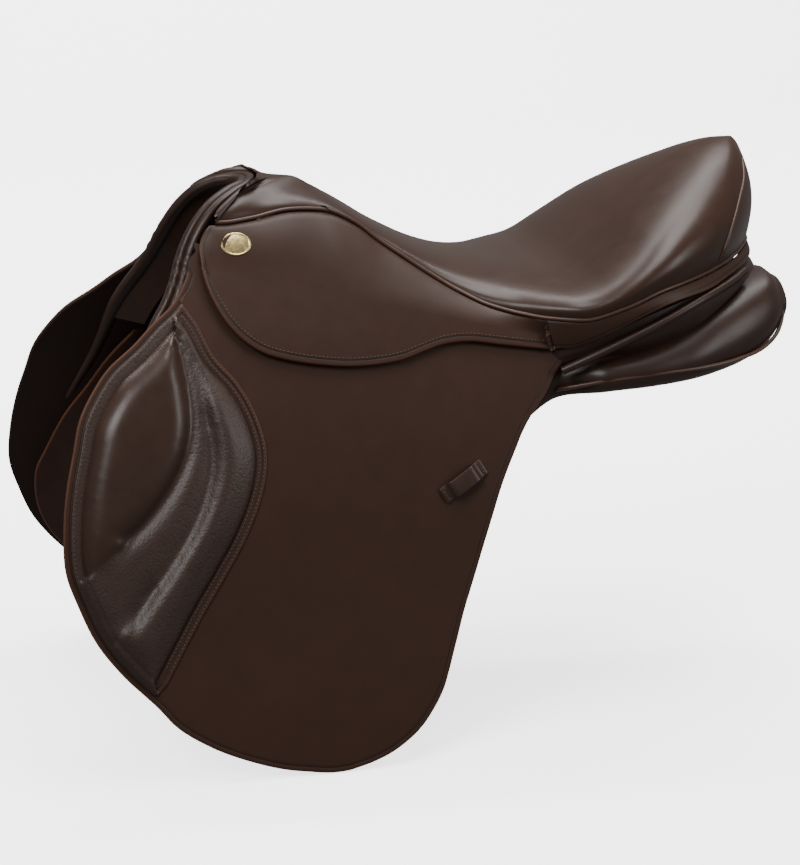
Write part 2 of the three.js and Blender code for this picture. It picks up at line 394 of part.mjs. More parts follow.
// ---------------------------------------------------------------- webs
{
  const xs = [151, 134, 110, 92, 80, 50, 0, -40, -90, -140, -176, -184], zz = [131, 118, 109, 103, 97, 80, 78, 77, 97, 122, 139, 142];
  const A = xs.map((x, i) => [[x, 6, zz[i]], [x, 24, zz[i] - 1.5]]), B = xs.map((x, i) => [[x, 6, zz[i] - 1.5], [x, 24, zz[i] - 3]]);
  both('straining_web', slab(A, B), webbing, 0.9);
}
function crossWeb(name, half, t) {               // half: list of [xr, xf, y, z] from the end to the middle
  const full = [...half, ...half.slice(0, -1).reverse().map(p => [p[0], p[1], -p[2], p[3]])];
  const nor = full.map((p, i) => { const a = full[Math.max(0, i - 1)], b = full[Math.min(full.length - 1, i + 1)]; const d = [b[2] - a[2], b[3] - a[3]], l = Math.hypot(...d); let n = [d[1] / l, -d[0] / l]; if (n[1] < 0) n = n.map(v => -v); return n; });
  const A = full.map((p, i) => [[p[0], p[2], p[3]], [p[1], p[2], p[3]]]);
  const B = full.map((p, i) => [[p[0], p[2] - nor[i][0] * t, p[3] - nor[i][1] * t], [p[1], p[2] - nor[i][0] * t, p[3] - nor[i][1] * t]]);
  put(name, slab(A, B), webbing, 0.9);
}
const sp = (z, o) => { const p = S(0, z, o); return [p[1], p[2]]; };
crossWeb('girth_web_rear', [44, 56, 70, 85, 100].map(z => [80, 104, ...sp(z, -13.8)]).concat([[80, 104, 48, 102], [80, 104, 36, 106], [80, 104, 22, 109.5], [80, 104, 0, 111.5]]), 1.5);
crossWeb('girth_web_front', [44, 50, 56].map(z => [110, 164, ...sp(z, -13.8)]).concat([62, 72, 86, 104].map(z => [110, 134, ...sp(z, -13.8)]), [[110, 134, 52, 108], [110, 134, 40, 115], [110, 134, 26, 121], [110, 134, 0, 126.5]]), 1.5);
crossWeb('waist_web', [[22, 62, 58, 85], [22, 62, 48, 87], [22, 62, 30, 88.2], [22, 62, 0, 89]], 1.5);

// ---------------------------------------------------------------- girth straps and buckle guard
const names = ['front', 'middle', 'rear'];
BILLET_X.forEach((x, k) => {
  const zs = [BILLET_TOP, 35, 10, -15, -45, -75, -105, -135, -165, BILLET_END + 8, BILLET_END];
  const R = zs.map((z, i) => [x - (i === zs.length - 1 ? 7 : BILLET_W / 2), z]), F = zs.map((z, i) => [x + (i === zs.length - 1 ? 7 : BILLET_W / 2), z]);
  both('girth_strap_' + names[k], sheet(R, F, 1, ...BILLET_OFF), leather, 0.5);
});
{ // buckle guard: a flat leather with three loops that the straps pass through
  const zs = [8, -10, -28, -46, -64, -82, -92], x0 = BILLET_X[2] - 21, x1 = BILLET_X[0] + 21;
  const R = zs.map((z, i) => [i === 6 ? x0 + 12 : i === 0 ? x0 + 6 : x0, z]), F = zs.map((z, i) => [i === 6 ? x1 - 12 : i === 0 ? x1 - 6 : x1, z]);
  let m = toM(sheet(R, F, 4, -6.0, -8.4));
  const back = [0, -14].map(z => z), RB = back.map(z => [x0 + 4, z]), FB = back.map(z => [x1 - 4, z]);
  m = m.add(toM(sheet(RB, FB, 4, -14.2, -16.0)));
  for (const xx of [x0 + 4, BILLET_X[2] + 15 - 1.2, BILLET_X[1] + 15 - 1.2, x1 - 6.4]) {
    m = m.add(toM(sheet(back.map(z => [xx, z]), back.map(z => [xx + 2.4, z]), 1, -7.5, -15.0)));
  }
  both('buckle_guard', fromM(m), leather, 0.5);
}

// ---------------------------------------------------------------- panel, sweat flap, blocks, point pocket
const panelStations = [
  [-229, [[44, 78], [56, 80], [70, 74], [80, 62], [76, 50], [64, 46], [50, 52], [42, 66]]],
  [-220, [[36, 84], [54, 86], [78, 78], [90, 60], [86, 42], [68, 34], [46, 44], [34, 66]]],
  [-200, [[34, 86], [60, 84], [92, 72], [103, 50], [98, 30], [74, 24], [44, 38], [32, 64]]],
  [-172, [[34, 80], [66, 76], [102, 64], [114, 42], [109, 22], [80, 19], [44, 34], [32, 58]]],
  [-134, [[34, 70], [70, 62], [110, 52], [125, 34], [120, 17], [86, 17], [44, 32], [32, 52]]],
  [-98, [[34, 62], [72, 54], [112, 44], [128, 30], [124, 15], [88, 15], [44, 30], [32, 47]]],
  [-66, [[34, 58], [70, 48], [108, 40], [125, 27], [122, 13], [88, 13], [44, 28], [32, 44]]],
  [-30, [[34, 60], [64, 46], [90, 36], [104, 20], [100, 4], [80, 6], [46, 26], [32, 44]]],
];
function frontStation(x, zu, zl) {
  const q = (z, o) => { const p = S(x, z, o); return [p[1], p[2]]; };
  const zm = (zu + zl) / 2;
  return [x, [q(zu, -33), q(zm + 14, -33), q(zl + 26, x > 186 ? -30 : -30), q(zl, -26), q(zl + 4, -31), q(zm - 6, -50), q(zu - 16, -54), q(zu - 3, -45)]];
}
panelStations.push(frontStation(20, 74, -30), frontStation(60, 76, -58), frontStation(110, 86, -78), frontStation(150, 92, -90), frontStation(190, 92, -96), frontStation(220, 82, -98), frontStation(250, 56, -94), frontStation(272, 26, -84), frontStation(290, -8, -70), frontStation(300, -26, -56));
{
  const M = 14, rings = [];
  const secs = panelStations.map(([x, q]) => {
    const c = new THREE.CatmullRomCurve3(q.map(p => new THREE.Vector3(x, p[0], p[1])), true, 'centripetal');
    return [...Array(M)].map((_, k) => { const v = c.getPoint(k / M); return [v.x, v.y, v.z]; });
  });
  const xs = [-229, -220, -200, -172, -134, -98, -66, -30, -5, 20, 60, 110, 150, 190, 220, 250, 272, 290, 300];
  const X = panelStations.map(s => s[0]);
  for (const x of xs) {
    rings.push([...Array(M)].map((_, k) => [x, pchip(X, secs.map(s => s[k][1]))(x), pchip(X, secs.map(s => s[k][2]))(x)]));
  }
  both('panel', loft(rings), leather, 0.5);
}
{
  const SF = [[271.6, 40.9], [292.7, 14.8], [309.3, -11.5], [327.8, -38.4], [343.3, -71.2], [350.8, -89.6], [350.5, -116.3], [342, -142], [320, -172], [288, -202], [250, -222], [210, -236], [184, -240]];
  const SR = [[3, -2], [14, -22], [28, -50], [40, -76], [52, -104], [64, -134], [76, -166], [88, -194], [104, -216], [126, -233], [158, -243]];
  both('sweat_flap', sheet(resample(SR, 14), resample(SF, 14), 7, -18.2, -21.4), leather, 0.5);
  const KF = [[300, -8], [312, -34], [325, -66], [331, -96], [330, -122]], KR = [[266, -2], [272, -30], [278, -62], [286, -92], [300, -120]];
  both('knee_block', pad(KR, KF, 7, 6, -17.6, 10), leather, 0.5);
  const TR = [[18, -6], [26, -24], [36, -48], [46, -72], [55, -96]], TF = [[40, -6], [50, -24], [58, -48], [64, -72], [66, -96]];
  both('thigh_block', pad(TR, TF, 7, 4, -17.6, 9), leather, 0.5);
}
function pad(Rr, Ff, nv, nu, base, h) {
  const R = resample(Rr, nv), F = resample(Ff, nv), A = [], B = [];
  for (let i = 0; i < nv; i++) {
    const a = [], b = [];
    for (let j = 0; j <= nu; j++) {
      const p = lerp(R[i], F[i], j / nu), k = Math.pow(Math.sin(Math.PI * j / nu), 0.5) * Math.pow(Math.sin(Math.PI * i / (nv - 1)), 0.4);
      a.push(S(p[0], p[1], base + 1.4 + (h - 1.4) * (k || 0))); b.push(S(p[0], p[1], base));
    }
    A.push(a); B.push(b);
  }
  return slab(A, B);
}
{ // leather pocket on the panel that the tree point slides into
  both('point_pocket', sheet([[150, 62], [151, 44], [154, 26], [160, 14]], [[186, 62], [186, 44], [184, 26], [176, 14]], 3, -15.9, -17.4), leather, 0.5);
}
{ // padded facing round the front arch: from behind one flap's front edge, over the head, to the other
  const half = FACE_PATH.map(([x, y, z]) => [x, y, z]);
  const full = [...half, ...half.slice(0, -1).reverse().map(p => [p[0], -p[1], p[2]])];
  const c = resample(full, 57), m = (c.length - 1) / 2;
  const rings = c.map((p, i) => {
    const t = unit(sub(c[Math.min(c.length - 1, i + 1)], c[Math.max(0, i - 1)]));
    const k = Math.min(1, Math.abs(i - m) / m), end = Math.min(1, (m - Math.abs(i - m) + 0.6) / 12);
    let n = unit([0.25, Math.sign(m - i) * (0.15 + 0.85 * Math.min(1, k * 1.6)), 1.0 - 0.55 * k]);   // outward, away from the horse
    n = unit(add(n, t, -dot(n, t)));
    let w = unit(cross(t, n)); if (w[0] < 0) w = w.map(v => -v);                                    // forward
    return FACE_SEC.map(q => add(add(p, w, q[0] * (0.55 + 0.45 * end)), n, q[1] * (0.55 + 0.45 * end)));
  });
  put('front_facing', loft(rings), leather, 0.5);
}
// ---------------------------------------------------------------- dee rings and their chapes
{
  const c = S(196, 118, -22), w = 11, R = [];
  const path = [];                                 // flat D outline in the x, z plane, hanging from its straight bar
  const n = 10;
  for (let i = 0; i <= n; i++) { const t = Math.PI * i / n; path.push([Math.cos(t) * w, -9 - Math.sin(t) * w]); }
  path.push([-w, 0], [w, 0]);
  const rings = path.map((p, i) => {
    const a = path[(i + path.length - 1) % path.length], b = path[(i + 1) % path.length];
    const t = unit([b[0] - a[0], 0, b[1] - a[1]]), s = [-t[2], 0, t[0]];
    return [...Array(6)].map((_, k) => { const v = k * Math.PI / 3 + Math.PI / 6; return add(add([c[0] + p[0], c[1], c[2] + p[1]], s, 1.5 * Math.cos(v)), [0, 1, 0], 1.5 * Math.sin(v)); });
  });
  const r = rings.length, k = 6, v = rings.flat(), t = [];
  for (let i = 0; i < r; i++) for (let j = 0; j < k; j++) { const a = i * k + j, b = i * k + (j + 1) % k, d = ((i + 1) % r) * k + j, e = ((i + 1) % r) * k + (j + 1) % k; t.push([a, d, e], [a, e, b]); }
  const ring = geo(v, fixWinding(v.length, t));
  ring.translate(-c[0], -c[1], -c[2]); ring.rotateZ(Math.PI / 2); ring.translate(...c);
  both('dee_ring', ring, steel, 0.25, 1);
  // chape: a folded tab round the straight side of the dee
  const prof = [[-2.6, -2.6], [2.6, -2.6], [2.6, 2.6], [-8, 2.6], [-12, 12], [-14.5, 12], [-10.5, 0.8], [-2.6, 0.8]].map(p => p);
  const outp = [[2.9, -2.9], [2.9, 2.9], [-11.4, 2.9], [-11.4, -2.9]], hole = [[1.8, -1.9], [1.8, 1.9], [-1.9, 1.9], [-1.9, -1.9]];
  const solid = (q, y0, y1) => { const v2 = [...q.map(p => [c[0] + p[0], c[1] + y0, c[2] + p[1]]), ...q.map(p => [c[0] + p[0], c[1] + y1, c[2] + p[1]])], n2 = q.length, t2 = [[0, 1, 2], [0, 2, 3], [4, 6, 5], [4, 7, 6]]; for (let i = 0; i < 4; i++) { const j = (i + 1) % 4; t2.push([i, j, 4 + j], [i, 4 + j, 4 + i]); } return geo(v2, fixWinding(8, t2)); };
  both('dee_chape', fromM(toM(solid(outp, -7, 7)).subtract(toM(solid(hole, -8, 8)))), leather, 0.5);
}
export default group;
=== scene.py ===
import bpy, math
import numpy as np
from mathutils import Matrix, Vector, geometry


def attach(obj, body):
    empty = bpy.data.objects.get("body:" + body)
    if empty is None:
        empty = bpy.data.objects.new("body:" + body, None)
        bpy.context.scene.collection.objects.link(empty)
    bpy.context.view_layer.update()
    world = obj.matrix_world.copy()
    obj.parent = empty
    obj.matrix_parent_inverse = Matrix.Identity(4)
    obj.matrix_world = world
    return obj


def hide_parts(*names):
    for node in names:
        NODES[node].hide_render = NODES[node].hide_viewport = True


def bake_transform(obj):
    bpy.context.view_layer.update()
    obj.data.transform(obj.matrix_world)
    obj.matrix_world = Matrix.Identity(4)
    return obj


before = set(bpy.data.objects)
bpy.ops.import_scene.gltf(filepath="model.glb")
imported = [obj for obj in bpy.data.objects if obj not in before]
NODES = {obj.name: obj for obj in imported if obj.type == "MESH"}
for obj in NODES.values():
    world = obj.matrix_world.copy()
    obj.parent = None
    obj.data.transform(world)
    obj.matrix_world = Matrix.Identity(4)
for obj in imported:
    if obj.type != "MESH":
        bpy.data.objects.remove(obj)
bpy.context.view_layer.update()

# ------------------------------------------------------------------ curves and the flap surface, in millimetres
def pchip(xs, ys):
    xs = np.asarray(xs, float); ys = np.asarray(ys, float); n = len(xs)
    h = np.diff(xs); d = np.diff(ys) / h; m = np.zeros(n)
    for i in range(1, n - 1):
        if d[i - 1] * d[i] > 0:
            w1, w2 = 2 * h[i] + h[i - 1], h[i] + 2 * h[i - 1]
            m[i] = (w1 + w2) / (w1 / d[i - 1] + w2 / d[i])
    m[0], m[-1] = d[0], d[-1]
    def f(x):
        x = np.asarray(x, float); i = np.clip(np.searchsorted(xs, x, side="right") - 1, 0, n - 2)
        t = np.clip((x - xs[i]) / h[i], 0, 1); t2, t3 = t * t, t * t * t
        return (2*t3-3*t2+1)*ys[i] + (t3-2*t2+t)*h[i]*m[i] + (-2*t3+3*t2)*ys[i+1] + (t3-t2)*h[i]*m[i+1]
    return f

PZ = [-290, -200, -120, -50, 10, 60, 100, 130, 160, 176, 190]
PY = [199, 178, 157, 138.5, 119, 97, 74.5, 56, 37, 24, 6]
Yf = pchip(PZ, PY)
def nrm(z):
    s = (Yf(z + 1) - Yf(z - 1)) / 2; l = np.hypot(1, s)
    return np.stack([np.zeros_like(l), 1 / l, -s / l], -1)
def S(x, z, off=0.0):
    x = np.asarray(x, float); z = np.asarray(z, float); off = np.asarray(off, float)
    n = nrm(z)
    return np.stack(np.broadcast_arrays(x, Yf(z) + off * n[..., 1], z + off * n[..., 2]), -1)
Hz = lambda x: 50 + (np.asarray(x, float) + 36) * 66 / 282
def unit(a):
    a = np.asarray(a, float); l = np.linalg.norm(a, axis=-1, keepdims=True); return a / np.where(l < 1e-9, 1, l)

def catmull(pts, n, closed=False, per=40):
    """n points at equal spacing on a centripetal Catmull-Rom curve"""
    P = np.asarray(pts, float)
    if closed: P = np.vstack([P[-1], P, P[0], P[1]])
    else: P = np.vstack([2 * P[0] - P[1], P, 2 * P[-1] - P[-2]])
    out = []
    for i in range(1, len(P) - 2):
        p0, p1, p2, p3 = P[i-1], P[i], P[i+1], P[i+2]
        a, b, c = [max(1e-6, np.linalg.norm(v) ** 0.5) for v in (p1-p0, p2-p1, p3-p2)]
        t = np.linspace(0, 1, per, endpoint=False)[:, None]
        m1 = (p1-p0)/a - (p2-p0)/(a+b) + (p2-p1)/b; m2 = (p2-p1)/b - (p3-p1)/(b+c) + (p3-p2)/c
        m1, m2 = m1*b, m2*b
        out.append((2*t**3-3*t**2+1)*p1 + (t**3-2*t**2+t)*m1 + (-2*t**3+3*t**2)*p2 + (t**3-t**2)*m2)
    out.append(P[-2][None]); Q = np.vstack(out)
    L = np.r_[0, np.cumsum(np.linalg.norm(np.diff(Q, axis=0), axis=1))]
    s = np.linspace(0, L[-1], n + 1 if closed else n)
    R = np.stack([np.interp(s, L, Q[:, k]) for k in range(Q.shape[1])], 1)
    return R[:-1] if closed else R
def poly_resample(P, step):
    P = np.asarray(P, float); L = np.r_[0, np.cumsum(np.linalg.norm(np.diff(P, axis=0), axis=1))]
    n = max(2, int(round(L[-1] / step)) + 1); s = np.linspace(0, L[-1], n)
    return np.stack([np.interp(s, L, P[:, k]) for k in range(P.shape[1])], 1)
def length(P): return float(np.linalg.norm(np.diff(P, axis=0), axis=1).sum())
def seg_dist(Q, P, arc=False):
    """distance of points Q to polyline P, 2-D; with arc, also the arc position"""
    Q = np.asarray(Q, float); A, B = P[:-1], P[1:]; D = B - A; LL = (D**2).sum(1); LL[LL < 1e-12] = 1e-12
    cum = np.r_[0, np.cumsum(np.sqrt(LL))]
    best = np.full(len(Q), 1e9); pos = np.zeros(len(Q))
    for k in range(0, len(Q), 4000):
        q = Q[k:k+4000, None, :]; t = np.clip(((q - A) * D).sum(2) / LL, 0, 1)
        d = np.linalg.norm(q - (A + t[..., None] * D), axis=2); j = d.argmin(1)
        best[k:k+4000] = d[np.arange(len(j)), j]; pos[k:k+4000] = cum[j] + t[np.arange(len(j)), j] * np.sqrt(LL[j])
    return (best, pos) if arc else best
def sstep(t): t = np.clip(t, 0, 1); return t * t * (3 - 2 * t)

# ------------------------------------------------------------------ mesh making
def new_mesh(name, V, F, attrs=None, mirror=False, sharp=35):
    V = np.asarray(V, float).copy()
    F = [list(map(int, f)) for f in F]
    if mirror: V[:, 1] *= -1; F = [f[::-1] for f in F]
    me = bpy.data.meshes.new(name)
    me.from_pydata((V / 1000).tolist(), [], F)
    for k, a in (attrs or {}).items():
        at = me.attributes.new(k, "FLOAT", "POINT"); at.data.foreach_set("value", np.asarray(a, np.float32))
    me.polygons.foreach_set("use_smooth", [True] * len(me.polygons))
    me.update()
    if sharp: me.set_sharp_from_angle(angle=math.radians(sharp))
    o = bpy.data.objects.new(name, me); bpy.context.scene.collection.objects.link(o)
    return o
def orient_out(V, F):
    V = np.asarray(V, float); vol = 0.0
    for f in F:
        for k in range(1, len(f) - 1): vol += np.dot(V[f[0]], np.cross(V[f[k]], V[f[k+1]]))
    return F if vol > 0 else [list(f)[::-1] for f in F]
def grid_faces(r, c, wrap_r=False, wrap_c=False, base=0):
    F = []
    for i in range(r if wrap_r else r - 1):
        for j in range(c if wrap_c else c - 1):
            F.append([base + i*c + j, base + ((i+1) % r)*c + j, base + ((i+1) % r)*c + (j+1) % c, base + i*c + (j+1) % c])
    return F
def loft(rings, cap=True):
    R = np.asarray(rings, float); r, c = R.shape[:2]; V = R.reshape(-1, 3); F = grid_faces(r, c, wrap_c=True)
    if cap:
        V = np.vstack([V, R[0].mean(0), R[-1].mean(0)])
        for j in range(c):
            F.append([r*c, (j+1) % c, j]); F.append([r*c+1, (r-1)*c+j, (r-1)*c+(j+1) % c])
    return V, orient_out(V, F)
def tube(P, rad, k=10, up=None, flat=1.0):
    """closed tube along a space curve"""
    P = np.asarray(P, float); t = unit(np.gradient(P, axis=0)); rings = []
    ref = np.array([0, 0, 1.0]) if up is None else None
    for i in range(len(P)):
        u = up[i] if up is not None else ref
        a = unit(np.cross(t[i], u)); b = np.cross(a, t[i]); w = np.arange(k) * 2 * np.pi / k
        rr = rad[i] if hasattr(rad, "__len__") else rad
        rings.append(P[i] + rr * (np.cos(w)[:, None] * a + flat * np.sin(w)[:, None] * b))
    return loft(rings)
def slab(A, B, wrap=False):
    A, B = np.asarray(A, float), np.asarray(B, float); r, c = A.shape[:2]; o = r * c
    V = np.vstack([A.reshape(-1, 3), B.reshape(-1, 3)])
    F = grid_faces(r, c, wrap) + [f[::-1] for f in grid_faces(r, c, wrap, base=o)]
    rr = r if wrap else r - 1
    for i in range(rr):
        a, b = i*c, ((i+1) % r)*c; F.append([a, o+a, o+b, b]); a, b = a+c-1, b+c-1; F.append([b, o+b, o+a, a])
    if not wrap:
        for j in range(c - 1):
            F.append([j+1, o+j+1, o+j, j]); a = (r-1)*c; F.append([a+j, o+a+j, o+a+j+1, a+j+1])
    return V, orient_out(V, F)
def join(parts):
    V, F, n = [], [], 0
    for v, f in parts: V.append(np.asarray(v)); F += [[i + n for i in q] for q in f]; n += len(v)
    return np.vstack(V), F

def patch(outline, top, bot, edge=None, holes=(), rings=(0.45, 1.0, 1.7, 2.6, 3.6, 4.2, 4.9, 6.5, 9.5), step=2.6, cell=4.5, warp=None, curves=()):
    """sheet on the flap surface inside a closed outline of (x, z). top and bot give offsets from (d, x, z)."""
    loops = [poly_resample(np.vstack([outline, outline[:1]]), step)[:-1]] + [poly_resample(np.vstack([h, h[:1]]), step)[:-1] for h in holes]
    closed = [np.vstack([l, l[:1]]) for l in loops]
    ref = [closed[0] if edge is None else np.asarray(edge, float)] + closed[1:]
    def dist(Q): return np.min([seg_dist(Q, p) for p in ref], axis=0)
    def dall(Q): return np.min([seg_dist(Q, p) for p in closed], axis=0)
    def inside(Q):
        r = np.zeros(len(Q), bool)
        for k, L in enumerate(loops):
            c = np.zeros(len(Q), bool); a = L; b = np.roll(L, -1, 0)
            for (x1, z1), (x2, z2) in zip(a, b):
                m = ((z1 > Q[:, 1]) != (z2 > Q[:, 1]))
                if z1 != z2: c ^= m & (Q[:, 0] < (x2 - x1) * (Q[:, 1] - z1) / (z2 - z1) + x1)
            r = c if k == 0 else r & ~c
        return r
    pts = [loops[0]] + loops[1:]; cons = []; n = 0
    for l in loops:
        cons += [(n + i, n + (i + 1) % len(l)) for i in range(len(l))]; n += len(l)
    extra = []
    for k, l in enumerate(loops):
        c = np.vstack([l[-1], l, l[0]]); t = unit(c[2:] - c[:-2]); nn = np.stack([-t[:, 1], t[:, 0]], 1)
        area = ((l[:, 0] * np.roll(l[:, 1], -1) - np.roll(l[:, 0], -1) * l[:, 1]).sum()) / 2
        sg = (1 if area > 0 else -1) * (1 if k == 0 else -1)
        for q, r in enumerate(rings if k == 0 else (0.8, 2.0)):
            e = l + sg * nn * r; keep = (dall(e) > r * 0.93) & inside(e); extra.append(e[keep])
    for cv, st in curves:
        e = poly_resample(cv, st); keep = (dall(e) > rings[-1] * 0.8) & inside(e); extra.append(e[keep])
    lo, hi = loops[0].min(0), loops[0].max(0)
    gx, gz = np.meshgrid(np.arange(lo[0], hi[0], cell), np.arange(lo[1], hi[1], cell * 0.866))
    gx = gx + (np.arange(gx.shape[0]) % 2)[:, None] * cell / 2
    g = np.stack([gx.ravel(), gz.ravel()], 1); g = g[inside(g)]; g = g[dall(g) > rings[-1] + cell * 0.5]
    for cv, st in curves: g = g[seg_dist(g, poly_resample(cv, st)) > st * 0.6]
    extra.append(g)
    Q = np.vstack(pts + extra)
    r = geometry.delaunay_2d_cdt([Vector(q) for q in Q], cons, [], 0, 1e-5, False)
    V2 = np.array([v[:] for v in r[0]]); T = [list(f) for f in r[2]]
    cen = np.array([V2[f].mean(0) for f in T]); ok = inside(cen); T = [f for f, k in zip(T, ok) if k]
    # winding
    for i, f in enumerate(T):
        a, b, c = V2[f[0]], V2[f[1]], V2[f[2]]
        if (b[0]-a[0])*(c[1]-a[1]) - (b[1]-a[1])*(c[0]-a[0]) > 0: T[i] = f[::-1]
    d, arc = seg_dist(V2, ref[0], arc=True)
    for p in ref[1:]: d = np.minimum(d, seg_dist(V2, p))
    X, Z = V2[:, 0], V2[:, 1]
    A = S(X, Z, top(d, X, Z)); B = S(X, Z, bot(d, X, Z))
    n = len(V2); F = [list(f) for f in T] + [[n + i for i in f[::-1]] for f in T]
    # rim from edges used once
    cnt = {}
    for f in T:
        for k in range(3):
            e = (f[k], f[(k + 1) % 3]); cnt[e] = 1
    for (a, b) in list(cnt):
        if (b, a) not in cnt: F.append([b, a, n + a, n + b])
    V = np.vstack([A, B])
    if warp is not None: V = warp(V, np.r_[X, X], np.r_[Z, Z])
    F = orient_out(V, F)
    side = np.r_[np.ones(n), np.zeros(n)]
    return V, F, {"edge": np.r_[d, d], "arc": np.r_[arc, arc], "face": side}
def rnd(d, r, e=0.0):
    """how far a rounded edge of radius r drops at distance d"""
    t = np.clip(1 - d / r, 0, 1); return r * (1 - np.sqrt(np.clip(1 - t * t, 0, 1))) * (1 - e)

# ------------------------------------------------------------------ materials
class MatKit:
    def __init__(self, name):
        self.m = bpy.data.materials.new(name); self.m.use_nodes = True; self.t = self.m.node_tree; self.t.nodes.clear()
        self.out = self.n("ShaderNodeOutputMaterial"); self.b = self.n("ShaderNodeBsdfPrincipled"); self.l(self.b, "BSDF", self.out, "Surface")
        self.co = self.n("ShaderNodeTexCoord")
    def n(self, kind, **kw):
        x = self.t.nodes.new(kind)
        for k, v in kw.items(): setattr(x, k, v)
        return x
    def l(self, a, ao, b, bi): self.t.links.new(a.outputs[ao], b.inputs[bi])
    def noise(self, scale, detail=3, rough=0.55, vec=None, dist=0.0):
        x = self.n("ShaderNodeTexNoise"); x.inputs["Scale"].default_value = scale; x.inputs["Detail"].default_value = detail
        x.inputs["Roughness"].default_value = rough; x.inputs["Distortion"].default_value = dist
        self.t.links.new((vec or self.co.outputs["Object"]), x.inputs["Vector"]); return x.outputs["Fac"]
    def voro(self, scale, feature="F1", vec=None, rand=1.0):
        x = self.n("ShaderNodeTexVoronoi", feature=feature); x.inputs["Scale"].default_value = scale; x.inputs["Randomness"].default_value = rand
        self.t.links.new((vec or self.co.outputs["Object"]), x.inputs["Vector"]); return x.outputs["Distance"]
    def ramp(self, fac, stops, interp="LINEAR"):
        x = self.n("ShaderNodeValToRGB"); x.color_ramp.interpolation = interp; e = x.color_ramp.elements
        while len(e) < len(stops): e.new(0.5)
        for q, (p, c) in zip(e, stops):
            q.position = p; q.color = (*c, 1) if hasattr(c, "__len__") else (c, c, c, 1)
        self.t.links.new(fac, x.inputs["Fac"]); return x.outputs["Color"]
    def mix(self, fac, a, b, mode="MIX"):
        x = self.n("ShaderNodeMix", data_type="RGBA", blend_type=mode)
        for s, v in ((0, fac), (6, a), (7, b)):
            if isinstance(v, bpy.types.NodeSocket): self.t.links.new(v, x.inputs[s])
            elif hasattr(v, "__len__"): x.inputs[s].default_value = (*v, 1)
            else: x.inputs[s].default_value = v
        return x.outputs[2]
    def math(self, op, a, b=0.0, c=0.0, clamp=False):
        x = self.n("ShaderNodeMath", operation=op, use_clamp=clamp)
        for s, v in enumerate((a, b, c)):
            if isinstance(v, bpy.types.NodeSocket): self.t.links.new(v, x.inputs[s])
            else: x.inputs[s].default_value = v
        return x.outputs[0]
    def mapr(self, v, a0, a1, b0=0.0, b1=1.0):
        x = self.n("ShaderNodeMapRange"); self.t.links.new(v, x.inputs[0])
        for i, q in enumerate((a0, a1, b0, b1)): x.inputs[i + 1].default_value = q
        return x.outputs[0]
    def attr(self, name):
        x = self.n("ShaderNodeAttribute", attribute_name=name); return x.outputs["Fac"]
    def bump(self, h, strength, dist=0.0005, prev=None):
        x = self.n("ShaderNodeBump"); x.inputs["Strength"].default_value = strength; x.inputs["Distance"].default_value = dist
        self.t.links.new(h, x.inputs["Height"])
        if prev is not None: self.t.links.new(prev, x.inputs["Normal"])
        return x.outputs["Normal"]
    def set(self, **kw):
        for k, v in kw.items():
            s = self.b.inputs[k.replace("_", " ")]
            if isinstance(v, bpy.types.NodeSocket): self.t.links.new(v, s)
            elif hasattr(v, "__len__"): s.default_value = (*v, 1) if len(v) == 3 else v
            else: s.default_value = v
        return self.m

def srgb(*c): return tuple(((v/255)/12.92 if v/255 <= 0.04045 else ((v/255+0.055)/1.055)**2.4) for v in c)

def leather(name, base, dark, warm, rough=(0.30, 0.46), pores=0.12, grain=0.0, gscale=430, edge=None, band=None, groove=(), coat=0.12, spec=0.5, suede=None):
    """edge: (width mm, colour) lighter worn edge. band: list of (from, to, colour) in mm from the edge."""
    k = MatKit(name)
    big = k.noise(9, 3, 0.5); mid = k.noise(60, 4, 0.6); fine = k.noise(1500, 2, 0.5)
    c = k.mix(k.ramp(big, [(0.25, 0.0), (0.78, 1.0)]), dark, base)
    c = k.mix(k.math("MULTIPLY", k.ramp(mid, [(0.35, 0.0), (0.75, 1.0)]), 0.35), c, warm)
    r = k.mapr(k.math("ADD", k.math("MULTIPLY", mid, 0.6), k.math("MULTIPLY", fine, 0.4)), 0.3, 0.7, *rough)
    if grain:
        v = k.voro(gscale, "SMOOTH_F1"); cell = k.ramp(v, [(0.0, 1.0), (0.55, 0.55), (0.85, 0.0)])
        c = k.mix(k.math("MULTIPLY", k.math("SUBTRACT", 1.0, cell), 0.55), c, tuple(q * 0.45 for q in dark))
        n1 = k.bump(cell, grain, 0.0007)
        n2 = k.bump(k.noise(900, 3), 0.10, 0.0003, n1)
    else:
        v = k.voro(1300, "F1"); n1 = k.bump(v, pores, 0.0002)
        n2 = k.bump(k.noise(240, 4, 0.6), pores * 0.8, 0.0004, n1)
    if edge or band or groove:
        d = k.attr("edge")
        if edge:
            w, col = edge; wob = k.math("MULTIPLY", k.math("SUBTRACT", mid, 0.5), w * 0.5)
            f = k.mapr(k.math("ADD", d, wob), w, w * 0.35); c = k.mix(f, c, col)
        for a, b_, col in band or ():
            f = k.math("MULTIPLY", k.mapr(d, a - 0.25, a + 0.25), k.mapr(d, b_ + 0.25, b_ - 0.25)); c = k.mix(f, c, col)
    if suede is not None:
        f = k.attr("face"); c = k.mix(f, suede, c); r = k.math("ADD", r, k.math("MULTIPLY", k.math("SUBTRACT", 1.0, f), 0.35), clamp=True)
    k.set(Base_Color=c, Roughness=r, Normal=n2)
    k.b.inputs["Coat Weight"].default_value = coat; k.b.inputs["Coat Roughness"].default_value = 0.28
    k.b.inputs["Specular IOR Level"].default_value = spec
    return k.m

